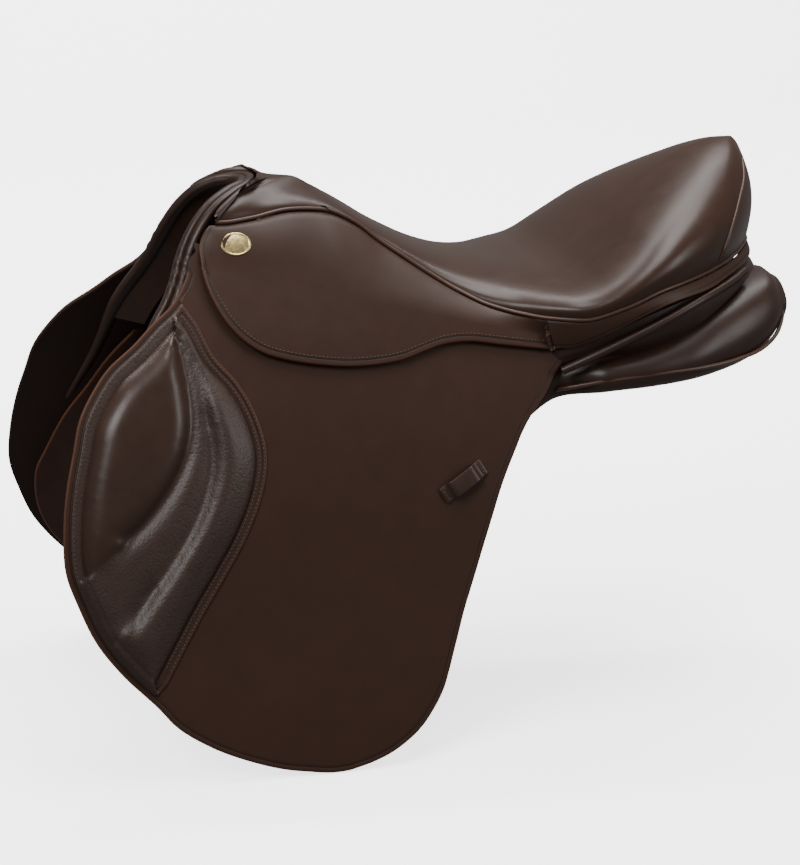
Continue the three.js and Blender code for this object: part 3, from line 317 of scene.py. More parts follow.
BASE, DARK, WARM = srgb(50, 32, 24), srgb(45, 29, 21), srgb(55, 34, 24)
EDGE_C = srgb(80, 47, 31)
M = {}
M["flap"] = leather("flap_leather", BASE, DARK, WARM, (0.46, 0.56), 0.08, edge=(1.3, EDGE_C), band=[(3.8, 4.4, srgb(22, 14, 11))], coat=0.0, spec=0.16, suede=srgb(38, 26, 23))
M["skirt"] = leather("skirt_leather", BASE, DARK, WARM, (0.40, 0.50), 0.08, edge=(2.4, srgb(66, 42, 32)), band=[(3.5, 4.3, srgb(22, 14, 11))], coat=0.0, spec=0.20)
M["seat"] = leather("seat_leather", srgb(48, 30, 21), srgb(42, 26, 19), srgb(54, 34, 24), (0.30, 0.37), 0.06, coat=0.0, spec=0.26)
M["welt"] = leather("welt_leather", srgb(66, 43, 33), srgb(52, 34, 26), srgb(76, 49, 36), (0.32, 0.44), 0.12, coat=0.0, spec=0.35)
M["knee"] = leather("knee_smooth", srgb(48, 31, 23), srgb(42, 27, 20), srgb(54, 34, 25), (0.30, 0.40), 0.10, coat=0.0, spec=0.30)
M["grain"] = leather("grained_leather", srgb(50, 33, 25), srgb(42, 27, 20), srgb(56, 37, 28), (0.42, 0.52), 0.05, grain=0.34, gscale=560, coat=0.0, spec=0.40)
M["panel"] = leather("panel_leather", srgb(42, 27, 20), srgb(36, 23, 17), srgb(52, 32, 23), (0.34, 0.42), 0.12, coat=0.0, spec=0.28)
M["sweat"] = leather("sweat_leather", srgb(50, 32, 27), srgb(40, 26, 22), srgb(60, 37, 28), (0.42, 0.55), 0.12, edge=(1.6, EDGE_C), coat=0.0, spec=0.2)
M["strap"] = leather("strap_leather", srgb(62, 39, 27), srgb(50, 31, 22), srgb(74, 46, 31), (0.36, 0.5), 0.12, edge=(1.2, srgb(36, 23, 18))  , band=[(2.2, 2.9, srgb(30, 19, 14))], coat=0.0, spec=0.3)
M["keeper"] = leather("keeper_leather", srgb(48, 31, 24), srgb(40, 26, 20), srgb(56, 35, 26), (0.34, 0.46), 0.12, coat=0.0, spec=0.3)
M["thread"] = None
def thread():
    k = MatKit("thread"); n = k.noise(2600, 2); k.set(Base_Color=k.mix(k.ramp(n, [(0.35, 0.0), (0.7, 1.0)]), srgb(58, 39, 29), srgb(76, 52, 38)), Roughness=0.62, Normal=k.bump(n, 0.3, 0.0002)); return k.m
def metal(name, col, rough, scratch=0.2, stretch=(1, 1, 1), dirt=0.0):
    k = MatKit(name); mp = k.n("ShaderNodeMapping"); k.l(k.co, "Object", mp, "Vector"); mp.inputs["Scale"].default_value = stretch
    n = k.noise(420, 4, 0.6, mp.outputs["Vector"]); w = k.noise(70, 3)
    c = k.mix(k.ramp(w, [(0.35, 0.0), (0.75, 1.0)]), tuple(v * 0.82 for v in col), col)
    if dirt: c = k.mix(k.math("MULTIPLY", k.ramp(k.noise(160, 4), [(0.45, 0.0), (0.7, 1.0)]), dirt), c, srgb(60, 48, 40))
    k.set(Base_Color=c, Metallic=1.0, Roughness=k.mapr(n, 0.3, 0.7, rough * 0.75, rough * 1.3), Normal=k.bump(n, scratch, 0.0002)); return k.m
def wood():
    k = MatKit("tree_wood"); mp = k.n("ShaderNodeMapping"); k.l(k.co, "Object", mp, "Vector"); mp.inputs["Scale"].default_value = (1, 9, 9)
    g = k.noise(26, 5, 0.6, mp.outputs["Vector"], 0.6); p = k.noise(240, 3, 0.6, mp.outputs["Vector"])
    c = k.ramp(g, [(0.3, srgb(150, 112, 72)), (0.5, srgb(186, 146, 98)), (0.7, srgb(205, 168, 120))])
    c = k.mix(k.math("MULTIPLY", p, 0.35), c, srgb(120, 84, 50))
    k.set(Base_Color=c, Roughness=k.mapr(g, 0.3, 0.7, 0.35, 0.5), Normal=k.bump(p, 0.2, 0.0004)); k.b.inputs["Coat Weight"].default_value = 0.3; return k.m
def web():
    k = MatKit("webbing"); mp = k.n("ShaderNodeMapping"); k.l(k.co, "Object", mp, "Vector")
    w = k.n("ShaderNodeTexWave", wave_type="BANDS", bands_direction="X"); w.inputs["Scale"].default_value = 260; w.inputs["Distortion"].default_value = 0.6; k.l(mp, "Vector", w, "Vector")
    v = k.n("ShaderNodeTexWave", wave_type="BANDS", bands_direction="Y"); v.inputs["Scale"].default_value = 260; v.inputs["Distortion"].default_value = 0.6; k.l(mp, "Vector", v, "Vector")
    h = k.math("MAXIMUM", w.outputs["Fac"], v.outputs["Fac"]); n = k.noise(60, 3)
    c = k.mix(h, srgb(168, 158, 132), srgb(206, 198, 172)); c = k.mix(k.math("MULTIPLY", n, 0.3), c, srgb(150, 136, 108))
    k.set(Base_Color=c, Roughness=0.85, Normal=k.bump(h, 0.6, 0.0005)); return k.m
def foamm():
    k = MatKit("foam"); v = k.voro(900); n = k.noise(30, 3)
    k.set(Base_Color=k.mix(n, srgb(222, 208, 170), srgb(236, 226, 196)), Roughness=0.92, Normal=k.bump(v, 0.6, 0.0006)); return k.m
M["thread"] = thread()
M["steel"] = metal("bar_steel", (0.56, 0.56, 0.57), 0.30, 0.15, (1, 6, 6)); M["tsteel"] = metal("tree_steel", (0.42, 0.42, 0.44), 0.42, 0.3, (1, 5, 5), 0.3)
M["dee"] = metal("dee_steel", (0.74, 0.74, 0.75), 0.16, 0.08); M["brass"] = metal("nail_brass", (0.78, 0.60, 0.28), 0.30, 0.35, (1, 1, 1), 0.25)
M["wood"] = wood(); M["web"] = web(); M["foam"] = foamm()

def give(o, mat, slot=None):
    o.data.materials.clear(); o.data.materials.append(mat)
    return o
def cadmat(names, mat):
    for n in names:
        o = NODES[n]; o.data.materials.clear(); o.data.materials.append(mat)
both = lambda n: [n + "_left", n + "_right"]
cadmat(["tree_head", "tree_cantle"] + both("tree_point") + both("tree_rail"), M["wood"])
cadmat(["head_plate", "gullet_plate"] + both("tree_spring"), M["tsteel"])
cadmat(both("stirrup_bar") + both("bar_catch"), M["steel"])
cadmat(["girth_web_front", "girth_web_rear", "waist_web"] + both("straining_web"), M["web"])
cadmat(["seat_foam"], M["foam"])
cadmat(both("dee_chape") + both("point_pocket") + ["front_facing"], M["keeper"])

# ------------------------------------------------------------------ shared outlines (x, z on the flap surface)
FRONT = np.array([[256.8,115.3],[259,111.3],[270.4,96.2],[288.6,82.8],[304.1,70],[325.4,54.8],[336.4,42.9],[350.9,20.8],[358.5,-4.3],[365.2,-28.9],[369.7,-56.8],[370.5,-88.9],[362.6,-115.4],[350.9,-142.8],[332.8,-168],[307.8,-194.1],[292,-212],[265.2,-229.6],[239.4,-241.2],[212.4,-250],[185.9,-254.9]])
REAR = np.array([[-38,46.2],[-35.6,39.2],[-25.8,26.8],[-16,12.7],[-6.7,2.3],[3.6,-11.8],[11.4,-26.1],[19.1,-40.6],[25.9,-55.1],[31.9,-69.7],[37.8,-84.4],[43.7,-99.1],[49.5,-113.8],[55.4,-128.4],[61.3,-143],[66.4,-157.7],[71.5,-172.4],[76.5,-187.1],[82.4,-201.8],[91.4,-216.2],[103.6,-230.3],[122.9,-243.7],[141,-251],[158.9,-255.4]])
cF = catmull(FRONT, 260); cR = catmull(REAR, 260)
bottom = catmull(np.vstack([REAR[-3:], [[172.5, -256.2]], FRONT[:-4:-1]]), 40)
i0 = np.argmin(np.linalg.norm(bottom - REAR[-1], axis=1)); i1 = np.argmin(np.linalg.norm(bottom - FRONT[-1], axis=1))
FREE = np.vstack([cR, bottom[i0+1:i1], cF[::-1]])            # free edge: rear top corner, bottom, front top corner
upf = pchip([-40, 10, 130, 190, 225, 254.2], [8, 6, 7, 11, 16, 21.5])
xt = np.linspace(254.1, -38, 120)
TOPL = np.stack([xt, Hz(xt) + upf(xt)], 1)
FLAP_OUT = np.vstack([FREE, [[256.2, 118.6], [254.6, 123.0], [251.8, 127.2], [247.6, 130.6]], TOPL[2:]])
barMid = 176.0
e1 = unit(S(206, Hz(206)) - S(146, Hz(146))); n0 = nrm(Hz(barMid) - 21.0); nB = unit(n0 - e1 * np.dot(n0, e1))
e2 = unit(np.cross(nB, e1)); e2 = -e2 if e2[2] > 0 else e2
OB = S(barMid, Hz(barMid) - 21 + 1.2)
loc = lambda a, r, o: OB + e1 * a + e2 * r + nB * o
HOLE = np.array([loc(a, r, 0)[[0, 2]] for a, r in ((-44, -30), (34, -30), (34, 17), (-44, 17))])

# the fold line, and points on its perpendicular

AX = unit(S(246, 116, 8) - S(-36, 50, 8))
DN = S(105, Hz(105) - 1) - S(105, Hz(105)); DN = unit(DN - AX * np.dot(DN, AX))
FC = (S(246, 116, 0) + S(-36, 50, 0)) / 2; FC = S(105, Hz(105), 0)
SIDES = (("left", 1), ("right", -1))

# ------------------------------------------------------------------ stitching: small capsules along a curve on the flap surface
def stitches(P3, N3, pitch=3.1, ln=2.3, rad=0.38, lift=0.12):
    """P3 curve, N3 its outward normals"""
    L = np.r_[0, np.cumsum(np.linalg.norm(np.diff(P3, axis=0), axis=1))]; n = int(L[-1] / pitch); V, F = [], []
    for k in range(n):
        s0 = (k + 0.5) * pitch - ln / 2
        q = [np.array([np.interp(s0 + ln * t, L, P3[:, c]) for c in range(3)]) for t in (0, 0.22, 0.5, 0.78, 1)]
        nn = unit(np.array([np.interp(s0 + ln / 2, L, N3[:, c]) for c in range(3)])); t = unit(q[-1] - q[0]); a = np.cross(t, nn); b0 = len(V) * 6 and sum(len(v) for v in V)
        w = np.arange(6) * np.pi / 3; ring = []
        for p, r, h in zip(q, (0.25, 0.85, 1.0, 0.85, 0.25), (-0.32, 0.0, 0.10, 0.0, -0.32)):
            ring.append(p + nn * (lift + h) + rad * r * (np.cos(w)[:, None] * a + np.sin(w)[:, None] * nn * 0.8))
        v, f = loft(ring); V.append(v); F.append(f)
    return join(list(zip(V, F))) if V else (np.zeros((0, 3)), [])
def surf_stitch(curve, off, **kw):
    P = poly_resample(curve, 1.5); return stitches(S(P[:, 0], P[:, 1], off), nrm(P[:, 1]), **kw)
def inset_curve(P, d, side):
    t = unit(np.gradient(P, axis=0)); return P + side * d * np.stack([-t[:, 1], t[:, 0]], 1)

# ------------------------------------------------------------------ flap
KSEAM = catmull([[265.6,97.6],[253.9,80.7],[243.6,57.9],[227.1,37.8],[216.1,16.4],[210.1,-7.2],[210.5,-24.7],[217,-47.7],[230.4,-74.7],[248.3,-101.5],[266,-126.3],[283.9,-153.3],[299.6,-177.8]], 220)
def flap_top_off(d, x, z):
    g = 0.35 * np.exp(-((d - 4.1) / 0.5) ** 2)
    return -rnd(d, 1.5) - g
def flap_bot_off(d, x, z): return -4.5 + rnd(d, 1.3)
fV, fF, fA = patch(FLAP_OUT, flap_top_off, flap_bot_off, edge=FREE, holes=[HOLE], cell=5.0, step=2.6)
for side, sg in SIDES:
    o = new_mesh("flap_leather_" + side, fV, fF, fA, sg < 0)
    give(o, M["flap"], "flap_leather"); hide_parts("flap_" + side, "flap_top_" + side)
    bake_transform(o)

# ------------------------------------------------------------------ knee pad: two lobes on a welted base
C1 = catmull([[271.4,71.5],[266.4,34.8],[266.7,9.2],[272.4,-11.3],[284.2,-31.5],[306.2,-56.1],[341.9,-83.3]], 120)
C2 = catmull([[271.4,71.5],[258.9,39.9],[255.5,12.7],[253.6,-8.3],[256.9,-29.2],[267.5,-54.7],[288.3,-85.5],[310.2,-111.8],[335.5,-142]], 120)
kfr = catmull([[268,96],[279,84],[293,72],[312,58],[324,44],[338,20],[346,-5],[353,-30],[357,-58],[357,-88],[350,-112],[339,-138],[322,-163],[303,-181]], 200)
# base outline: from the seam, round the front just inside the flap's edge
KIN = inset_curve(cF[4:226], 5.2, 1)
if KIN[100, 0] > cF[104, 0]: KIN = inset_curve(cF[4:226], 5.2, -1)
kend = np.argmin(np.linalg.norm(KIN - KSEAM[-1], axis=1)); KIN = KIN[:kend + 1]
KOUT = np.vstack([KSEAM[::-1], KIN])
def crease_pos(Q, C):
    """signed distance (positive in front), and how much the crease has faded at its lower end"""
    t = unit(np.gradient(C, axis=0)); L = np.r_[0, np.cumsum(np.linalg.norm(np.diff(C, axis=0), axis=1))]
    d, arc = seg_dist(Q, C, arc=True); dd = ((Q[:, None, :] - C[None, ::2, :]) ** 2).sum(2); j = dd.argmin(1) * 2; v = Q - C[j]
    sg = np.sign(v[:, 0] * t[j, 1] - v[:, 1] * t[j, 0]); q = np.array([320.0, 0]); k = ((C - q) ** 2).sum(1).argmin(); w = q - C[k]
    if w[0] * t[k, 1] - w[1] * t[k, 0] < 0: sg = -sg
    return sg * d, sstep((arc - (L[-1] - 30)) / 30), arc / L[-1]
def knee_h(d, x, z):
    Q = np.stack([x, z], 1); ds = seg_dist(Q, KSEAM); df = seg_dist(Q, KIN)
    f1, e1_, a1 = crease_pos(Q, C1); f2, e2_, a2 = crease_pos(Q, C2)
    band, strip = 9.0, 8.5
    din = np.clip(ds - band, 0, None); dfr = np.clip(df - strip, 0, None); dend = np.clip(df - 1.5, 0, None)
    def crown(w, H, W, k=0.6): q = np.clip(w / W, 0, 1); return H * (1 - (1 - q) ** 2) ** k
    # smooth pad: flat top, steep rolled sides
    hA = crown(np.minimum(np.maximum(f1, 26 * e1_), dfr), 8.6, 15, 1.0) + crown(np.minimum(np.maximum(f1, 0), dfr), 2.0, 34)
    # middle roll climbs from the pad and is deepest beside crease 2
    wB = np.minimum(np.maximum(-f1, 10 * e1_), dend); hB = crown(wB, 6.0, 12, 1.0) * (0.45 + 0.55 * np.clip(np.maximum(f2, 14 * e2_) / 14, 0, 1) ** 0.7)
    # rear roll: ridge close to crease 2, falling to the seam
    w2 = np.maximum(-f2, 9 * e2_); hC = crown(w2, 10.5, 10.5, 1.0) * (0.35 + 0.65 * sstep(np.minimum(din, dend) / 21)) * np.clip(np.minimum(din, dend) / 3.0, 0, 1) ** 0.5
    h = np.where(f1 > 0, hA, np.where(f2 > 0, hB, hC))
    # blend across the creases where they fade
    k1 = e1_ * np.exp(-(f1 / 9) ** 2); h = h * (1 - 0.5 * k1) + 0.5 * k1 * np.minimum(7.0, h + 2)
    g = -0.7 * np.exp(-((ds - band) / 1.0) ** 2) - 0.5 * np.exp(-((ds - 4.6) / 0.8) ** 2)
    return 1.7 - rnd(d, 1.3) + g * (df > 3) - 0.5 * np.exp(-((df - strip) / 0.9) ** 2) * (ds > 12) + np.maximum(h, 0)
def relax(V, F, n, it, keep):
    """smooths the top face's heights over the mesh, but not the rim"""
    nb = [[] for _ in range(n)]
    for f in F:
        if max(f) < n:
            for k in range(len(f)): nb[f[k]].append(f[(k + 1) % len(f)])
    idx = [np.array(b, int) for b in nb]; V = V.copy()
    for _ in range(it):
        W = V.copy()
        for i in range(n):
            if keep[i] or len(idx[i]) == 0: continue
            W[i] = 0.5 * V[i] + 0.5 * V[idx[i]].mean(0)
        V = W
    return V
kn_rings = (0.5, 1.1, 2.0, 3.2, 4.2, 4.6, 5.2, 6.5, 8.2, 9.0, 9.9, 11.5, 13.5, 16.0)
kV, kF, kA = patch(KOUT, knee_h, lambda d, x, z: 0.05 + 0 * d, rings=kn_rings, cell=2.7, step=2.0, curves=[(C1, 1.8), (C2, 1.8)] + [(inset_curve(C_, q, sd), 1.9) for C_ in (C1, C2) for q in (1.8, 3.8, 6.2) for sd in (1, -1)])
kV = relax(kV, kF, len(kV) // 2, 5, kA['edge'][:len(kV) // 2] < 10.5)


def zones(V, F, n_top, fn):
    cen = np.array([V[f].mean(0) for f in F]); return fn(cen)
def signed_side(Q, C, probe):
    t = unit(np.gradient(C, axis=0))
    def f(P):
        dd = ((P[:, None, :] - C[None, ::4, :]) ** 2).sum(2); j = dd.argmin(1) * 4; v = P - C[j]
        return v[:, 0] * t[j, 1] - v[:, 1] * t[j, 0]
    s = f(Q); return s if f(np.array([probe], float))[0] > 0 else -s
def knee_zone():
    cx = np.array([kV[f].mean(0) for f in kF]); Q = cx[:, [0, 2]].copy()
    # back to the flap's own height coordinate
    z = Q[:, 1].copy()
    for _ in range(6): z = Q[:, 1] - (cx[:, 1] - Yf(z)) / nrm(z)[:, 1] * nrm(z)[:, 2]
    P = np.stack([Q[:, 0], z], 1); f1 = signed_side(P, C1, [320, 0]); ds = seg_dist(P, KSEAM)
    df = seg_dist(P, KIN)
    return np.where(ds < 8.8, 2, np.where((f1 > 0.3) & (df > 8.3), 0, 1))
KZ = knee_zone()
for side, sg in SIDES:
    o = new_mesh("knee_pad_" + side, kV, kF, kA, sg < 0, sharp=50)
    for m in (M["knee"], M["grain"], M["skirt"]): o.data.materials.append(m)
    o.data.polygons.foreach_set("material_index", KZ.astype(int).tolist())
    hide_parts("knee_roll_" + side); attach(o, "flap_" + side)
sgn = 1 if signed_side(inset_curve(KSEAM, 3, 1)[100:101], KSEAM, [320, -60])[0] > 0 else -1
kst = [surf_stitch(inset_curve(KSEAM, d, sgn)[6:-6], 1.75) for d in (2.4, 6.6)]
kst.append(surf_stitch(inset_curve(KIN, 2.2, 1 if inset_curve(KIN, 3, 1)[60, 0] < KIN[60, 0] else -1)[8:-6], 1.6, pitch=3.4))
kst = join(kst)
for side, sg in SIDES:
    o = new_mesh("knee_stitching_" + side, kst[0], kst[1], None, sg < 0, sharp=0); give(o, M["thread"]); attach(o, "flap_" + side)

# ------------------------------------------------------------------ keeper loop
def rounded_rect(w, h, r=None, k=5):
    r = min(w, h) * 0.48 if r is None else r; P = []
    for cx, cy, a0 in ((w/2-r, h/2-r, 0), (-w/2+r, h/2-r, 90), (-w/2+r, -h/2+r, 180), (w/2-r, -h/2+r, 270)):
        for i in range(k): a = math.radians(a0 + 90 * i / (k - 1)); P.append((cx + r * math.cos(a), cy + r * math.sin(a)))
    return np.array(P)
KU = unit(np.array([32.3, -19.2])); KW = np.array([-KU[1], KU[0]])
def keeper():
    prof = catmull([[-20, 1.15], [-15, 1.2], [-12.6, 2.4], [-10.4, 4.7], [-5, 5.35], [0, 5.45], [5, 5.35], [10.4, 4.7], [12.6, 2.4], [15, 1.2], [20, 1.15]], 60)
    rr = rounded_rect(13.0, 2.0, 0.75, 4); rings = []
    for i, (a, h) in enumerate(prof):
        e = min(1, (min(i, len(prof) - 1 - i) + 0.3) / 2.2); w = 0.9 + 0.1 * e
        t = unit(np.gradient(prof, axis=0))[i]; ring = []
        for b, c in rr:
            aa = a - t[1] * c * e ** .5; hh = h + t[0] * c * e ** .5
            p = np.array([56, -46.3]) + KU * aa + KW * b * w; ring.append(S(p[0], p[1], hh))
        rings.append(ring)
    return loft(rings)
kp = keeper(); ks = []
for a in (-17.4, 17.4):
    c = np.array([np.array([56, -46.3]) + KU * a + KW * b for b in np.linspace(-4.6, 4.6, 8)]); ks.append(surf_stitch(c, 2.15, pitch=2.6, ln=1.9))
for b in (-4.8, 4.8):
    for s in (-1, 1):
        c = np.array([np.array([56, -46.3]) + KU * a * s + KW * b for a in np.linspace(14.6, 17.4, 6)]); ks.append(surf_stitch(c, 2.2, pitch=2.4, ln=1.8))
ks = join(ks)
for side, sg in SIDES:
    o = new_mesh("keeper_loop_" + side, kp[0], kp[1], None, sg < 0, sharp=50); give(o, M["keeper"], "flap_leather"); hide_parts("strap_keeper_" + side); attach(o, "flap_" + side)
    o = new_mesh("keeper_stitching_" + side, ks[0], ks[1], None, sg < 0, sharp=0); give(o, M["thread"]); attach(o, "flap_" + side)

# ------------------------------------------------------------------ seat
SPINE = [[182.4,177.3],[176,175.3],[159.9,173.6],[143.7,165.4],[127.5,155.6],[111.2,144.9],[94.8,134.1],[78.3,124.9],[61.7,116.5],[45,109.7],[28.3,104.5],[11.5,100.9],[-5.4,98.2],[-22.3,97.1],[-39.2,96.9],[-56.2,100.8],[-73.1,111.4],[-89.9,124.6],[-106.8,139.4],[-123.6,151.7],[-140.6,162.4],[-157.5,171.4],[-174.6,179.6],[-191.7,184.4],[-209,186]]
_sp = np.array(SPINE[::-1]); zc = pchip(_sp[:, 0], _sp[:, 1])
SEAM = np.array([[184,0,178],[188,14,179],[192,26,177.5],[207.8,36.5,170.5],[224.5,47.5,157.8],[231,51,151.5],[222,50.6,150.8],[200.9,46,152],[171.3,40.5,155.7],[141.3,36,152.8],[116.2,38.5,141.4],[100.5,43,128.8],[81,51.5,115.1],[61.7,61,102],[40.8,73,89.4],[20,86,80],[-1,98,75.1],[-21.4,111,73],[-46.2,123,72.7],[-80.4,128,82.2],[-112,122,92.3],[-148.3,104,97.5],[-178.2,80,101.3],[-201,52,104.5],[-215,26,106.8],[-219.5,0,108]])
FAN = [180,177,174,169,164,160,157,153,147,136,116,101,82,62,42,21,0,-21,-46,-80,-110,-142,-167,-186,-199,-207]
POW = [2,2,2,2,2,2,2,2,2,2,2,2,2,2,2,2.1,2.3,2.6,2.8,2.7,2.5,2.4,2.4,2.5,2.6,2.6]
BULGE = [0]*16 + [1,3,5,6,7,8,8,8,7,6]
_i = np.arange(len(SEAM)); sx, sy, sz = (pchip(_i, SEAM[:, k]) for k in range(3)); ffx, ffp, ffb = pchip(_i, FAN), pchip(_i, POW), pchip(_i, BULGE)
def seat_pt(u, s):
    u, s = np.broadcast_arrays(np.asarray(u, float), np.asarray(s, float))
    B = np.stack([sx(u), sy(u), sz(u)], -1); ax = ffx(u); az = zc(ax); p = ffp(u)
    D = np.maximum(1e-6, np.hypot(B[..., 0] - ax, B[..., 1])); h = az - B[..., 2]
    dx, dy = (B[..., 0] - ax) / D, B[..., 1] / D; th = s * np.pi / 2
    X = np.sin(th) ** (2 / p); Z = np.cos(th).clip(0) ** (2 / p)
    bul = ffb(u) * np.sin(np.pi * np.clip(1 - Z, 0, 1)); r = D * X + bul * np.where(X > 0.5, 1, X * 2)
    return np.stack([ax + dx * r, dy * r, B[..., 2] + h * Z], -1)
def s_end(u, clear, cap):
    h = np.maximum(6, zc(ffx(u)) - sz(u)); Z = np.minimum(cap, clear / h); return np.arccos(Z ** (ffp(u) / 2)) / (np.pi / 2)
def seat_half(us, ss, clear, cap): return seat_pt(us[:, None], ss[None, :] * s_end(us, clear, cap)[:, None])
def smooth_grid(G, it, lock=1):
    for _ in range(it):
        H = G.copy(); H[1:-1, lock:-1] = G[1:-1, lock:-1] * 0.5 + 0.125 * (G[:-2, lock:-1] + G[2:, lock:-1] + G[1:-1, lock-1:-2] + G[1:-1, lock+1:])
        H[:, 0, 1] = 0; G = H
    return G
def seat_shell(name, nu, ns, clear, cap, off, thick, it=6):
    import bmesh
    us = np.linspace(0, len(SEAM) - 1, nu); q = np.linspace(0, 1, ns); ss = 1 - (1 - q) ** 1.25
    G = smooth_grid(seat_half(us, ss, clear, cap), it)
    full = np.concatenate([G[:, ::-1], (G * [1, -1, 1])[:, 1:]], 1); r, c = full.shape[:2]
    me = bpy.data.meshes.new(name); me.from_pydata((full.reshape(-1, 3) / 1000).tolist(), [], grid_faces(r, c)); bm = bmesh.new(); bm.from_mesh(me)
    bmesh.ops.remove_doubles(bm, verts=bm.verts, dist=2e-5); bmesh.ops.dissolve_degenerate(bm, dist=1e-6, edges=bm.edges)
    bmesh.ops.recalc_face_normals(bm, faces=bm.faces); bm.normal_update()
    up = sum(f.normal.z * f.calc_area() for f in bm.faces)
    if up < 0: bmesh.ops.reverse_faces(bm, faces=bm.faces)
    bm.normal_update(); bm.verts.ensure_lookup_table()
    N = [v.normal.copy() for v in bm.verts]
    outer = list(bm.verts); inner = [bm.verts.new(v.co + n * (off - thick) / 1000) for v, n in zip(outer, N)]
    bd = [e for e in bm.edges if e.is_boundary]; faces = list(bm.faces); idx = {v: i for i, v in enumerate(outer)}
    for f in faces: bm.faces.new([inner[idx[v]] for v in reversed(f.verts)])
    for e in bd:
        l = e.link_loops[0]; a, b = l.vert, l.link_loop_next.vert; bm.faces.new([b, a, inner[idx[a]], inner[idx[b]]])
    for v, n in zip(outer, N): v.co += n * off / 1000
    bmesh.ops.recalc_face_normals(bm, faces=bm.faces)
    for f in bm.faces: f.smooth = True
    bm.to_mesh(me); bm.free(); me.set_sharp_from_angle(angle=math.radians(50))
    o = bpy.data.objects.new(name, me); bpy.context.scene.collection.objects.link(o); return o
seat = seat_shell("seat_cover", 300, 90, 0.9, 0.5, 0.0, 2.3); give(seat, M["seat"], "seat_leather"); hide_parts("seat_leather"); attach(seat, "saddle")

us = np.linspace(5.2, 25, 420); W = np.stack([sx(us), np.maximum(1.7, sy(us)), sz(us)], 1)
wt = tube(W, 1.65, 12)
for side, sg in SIDES:
    o = new_mesh("seat_piping_" + side, wt[0], wt[1], None, sg < 0, sharp=50); give(o, M["welt"], "welt_leather"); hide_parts("seat_welt_" + side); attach(o, "saddle")

cpu = catmull([[23.9, 0.42], [23.26, 0.58], [22.74, 0.66], [22.36, 0.74], [22.06, 0.82], [21.84, 0.89], [21.6, 0.985]], 160)
def on_seat(uv, lift):
    e = s_end(uv[:, 0], 0.9, 0.5); P = seat_pt(uv[:, 0], uv[:, 1] * e); a = seat_pt(uv[:, 0] + 0.02, uv[:, 1] * e) - P; b = seat_pt(uv[:, 0], uv[:, 1] * e + 0.005) - P
    N = unit(np.cross(a, b)); N *= np.sign((N * [-0.5, 1, 0.3]).sum(1, keepdims=True)); return P + N * lift
cp1 = tube(on_seat(cpu, 0.25), 1.15 * np.clip(np.minimum(np.arange(160), np.arange(160)[::-1]) / 14 + 0.15, 0, 1), 10)
cp2 = tube(on_seat(cpu + [0.13, 0.0], -0.1), 0.8 * np.clip(np.minimum(np.arange(160), np.arange(160)[::-1]) / 14 + 0.15, 0, 1), 8)
cpv = join([cp1, cp2])
for side, sg in SIDES:
    o = new_mesh("cantle_piping_" + side, cpv[0], cpv[1], None, sg < 0, sharp=0); give(o, M["welt"], "welt_leather"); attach(o, "saddle")

# ------------------------------------------------------------------ skirt: fixed upper part, and the lower part that hangs over the flap
OUT, INN = 6.5, 2.0
EDGE = np.array([[-26.6,44.4],[-5.7,47.2],[18.3,50.9],[42.2,54.5],[62.5,53.7],[79.1,49.7],[95.8,45.1],[116.1,42.9],[139.9,43],[164.9,46],[186.5,50.3],[205.4,56.4],[219.9,65.7],[231.5,78.2],[239.6,92.5],[244.1,105.1],[246.2,116.0]])
STRIP = np.array([[-41.5,116,48.6],[-67.1,125,60.5],[-110.1,128,80.1],[-153.8,110,87],[-173.6,93,90],[-199.8,66,94.5],[-216,36,96.5],[-222,1.2,97]])
cE = catmull(EDGE, 300)
xb = pchip([5.35,6.3,7,8,9,10,11,12,13,14,15,16,16.9][::1], [231,216,200,171,145,124,107,88,68,46,23,0,-26.4])
corner = S(-26.6, 44.4, OUT)
strC = catmull(np.vstack([corner[None], STRIP]), 400)
frac = pchip([16.9,18.0,18.55,19.5,20.5,21.3,22.1,23,24,24.9], np.linspace(0, 1, 10))
cols = []   # T, B, weight of the flap-surface tangent, is rear
def seamP(u): return np.array([sx(u), max(1.0, float(sy(u)) + 0.5), sz(u)])
frT = catmull([[246.3, 117.2], [246.4, 121.5], [246.3, 132.7], [239.9, 144.8], [236, 148.6]], 26)
s0 = seamP(5.35)
for i, (x, z) in enumerate(frT):
    bx = 246.1 - 13.5 * (i / (len(frT) - 1)) ** 1.3; k = i / (len(frT) - 1)
    T = S(x, z, OUT) * (1 - sstep(k * 1.2 - 0.2)) + sstep(k * 1.2 - 0.2) * (S(x, z, OUT) * 0.45 + 0.55 * (s0 + [x - s0[0], 0, z - s0[2] - 1.4]))
    cols.append((T, S(bx, Hz(bx), OUT), 1.0, 0))
for u in np.arange(5.35, 16.9, 0.12):
    b = S(xb(u), Hz(xb(u)), OUT); a = seamP(u); cols.append((a + unit(b - a) * 1.8, b, 1.0, 0))
a = seamP(16.9); cols.append((a + unit(corner - a) * 1.8, corner, 0.6, 1))
for u in np.arange(17.0, 24.95, 0.10):
    f = float(frac(u)); b = np.array([np.interp(f, np.linspace(0, 1, 400), strC[:, k]) for k in range(3)]); a = seamP(u)
    cols.append((a + unit(b - a) * 1.8, b, 0.6 * max(0, 1 - (u - 17.0) / 1.2), 1))
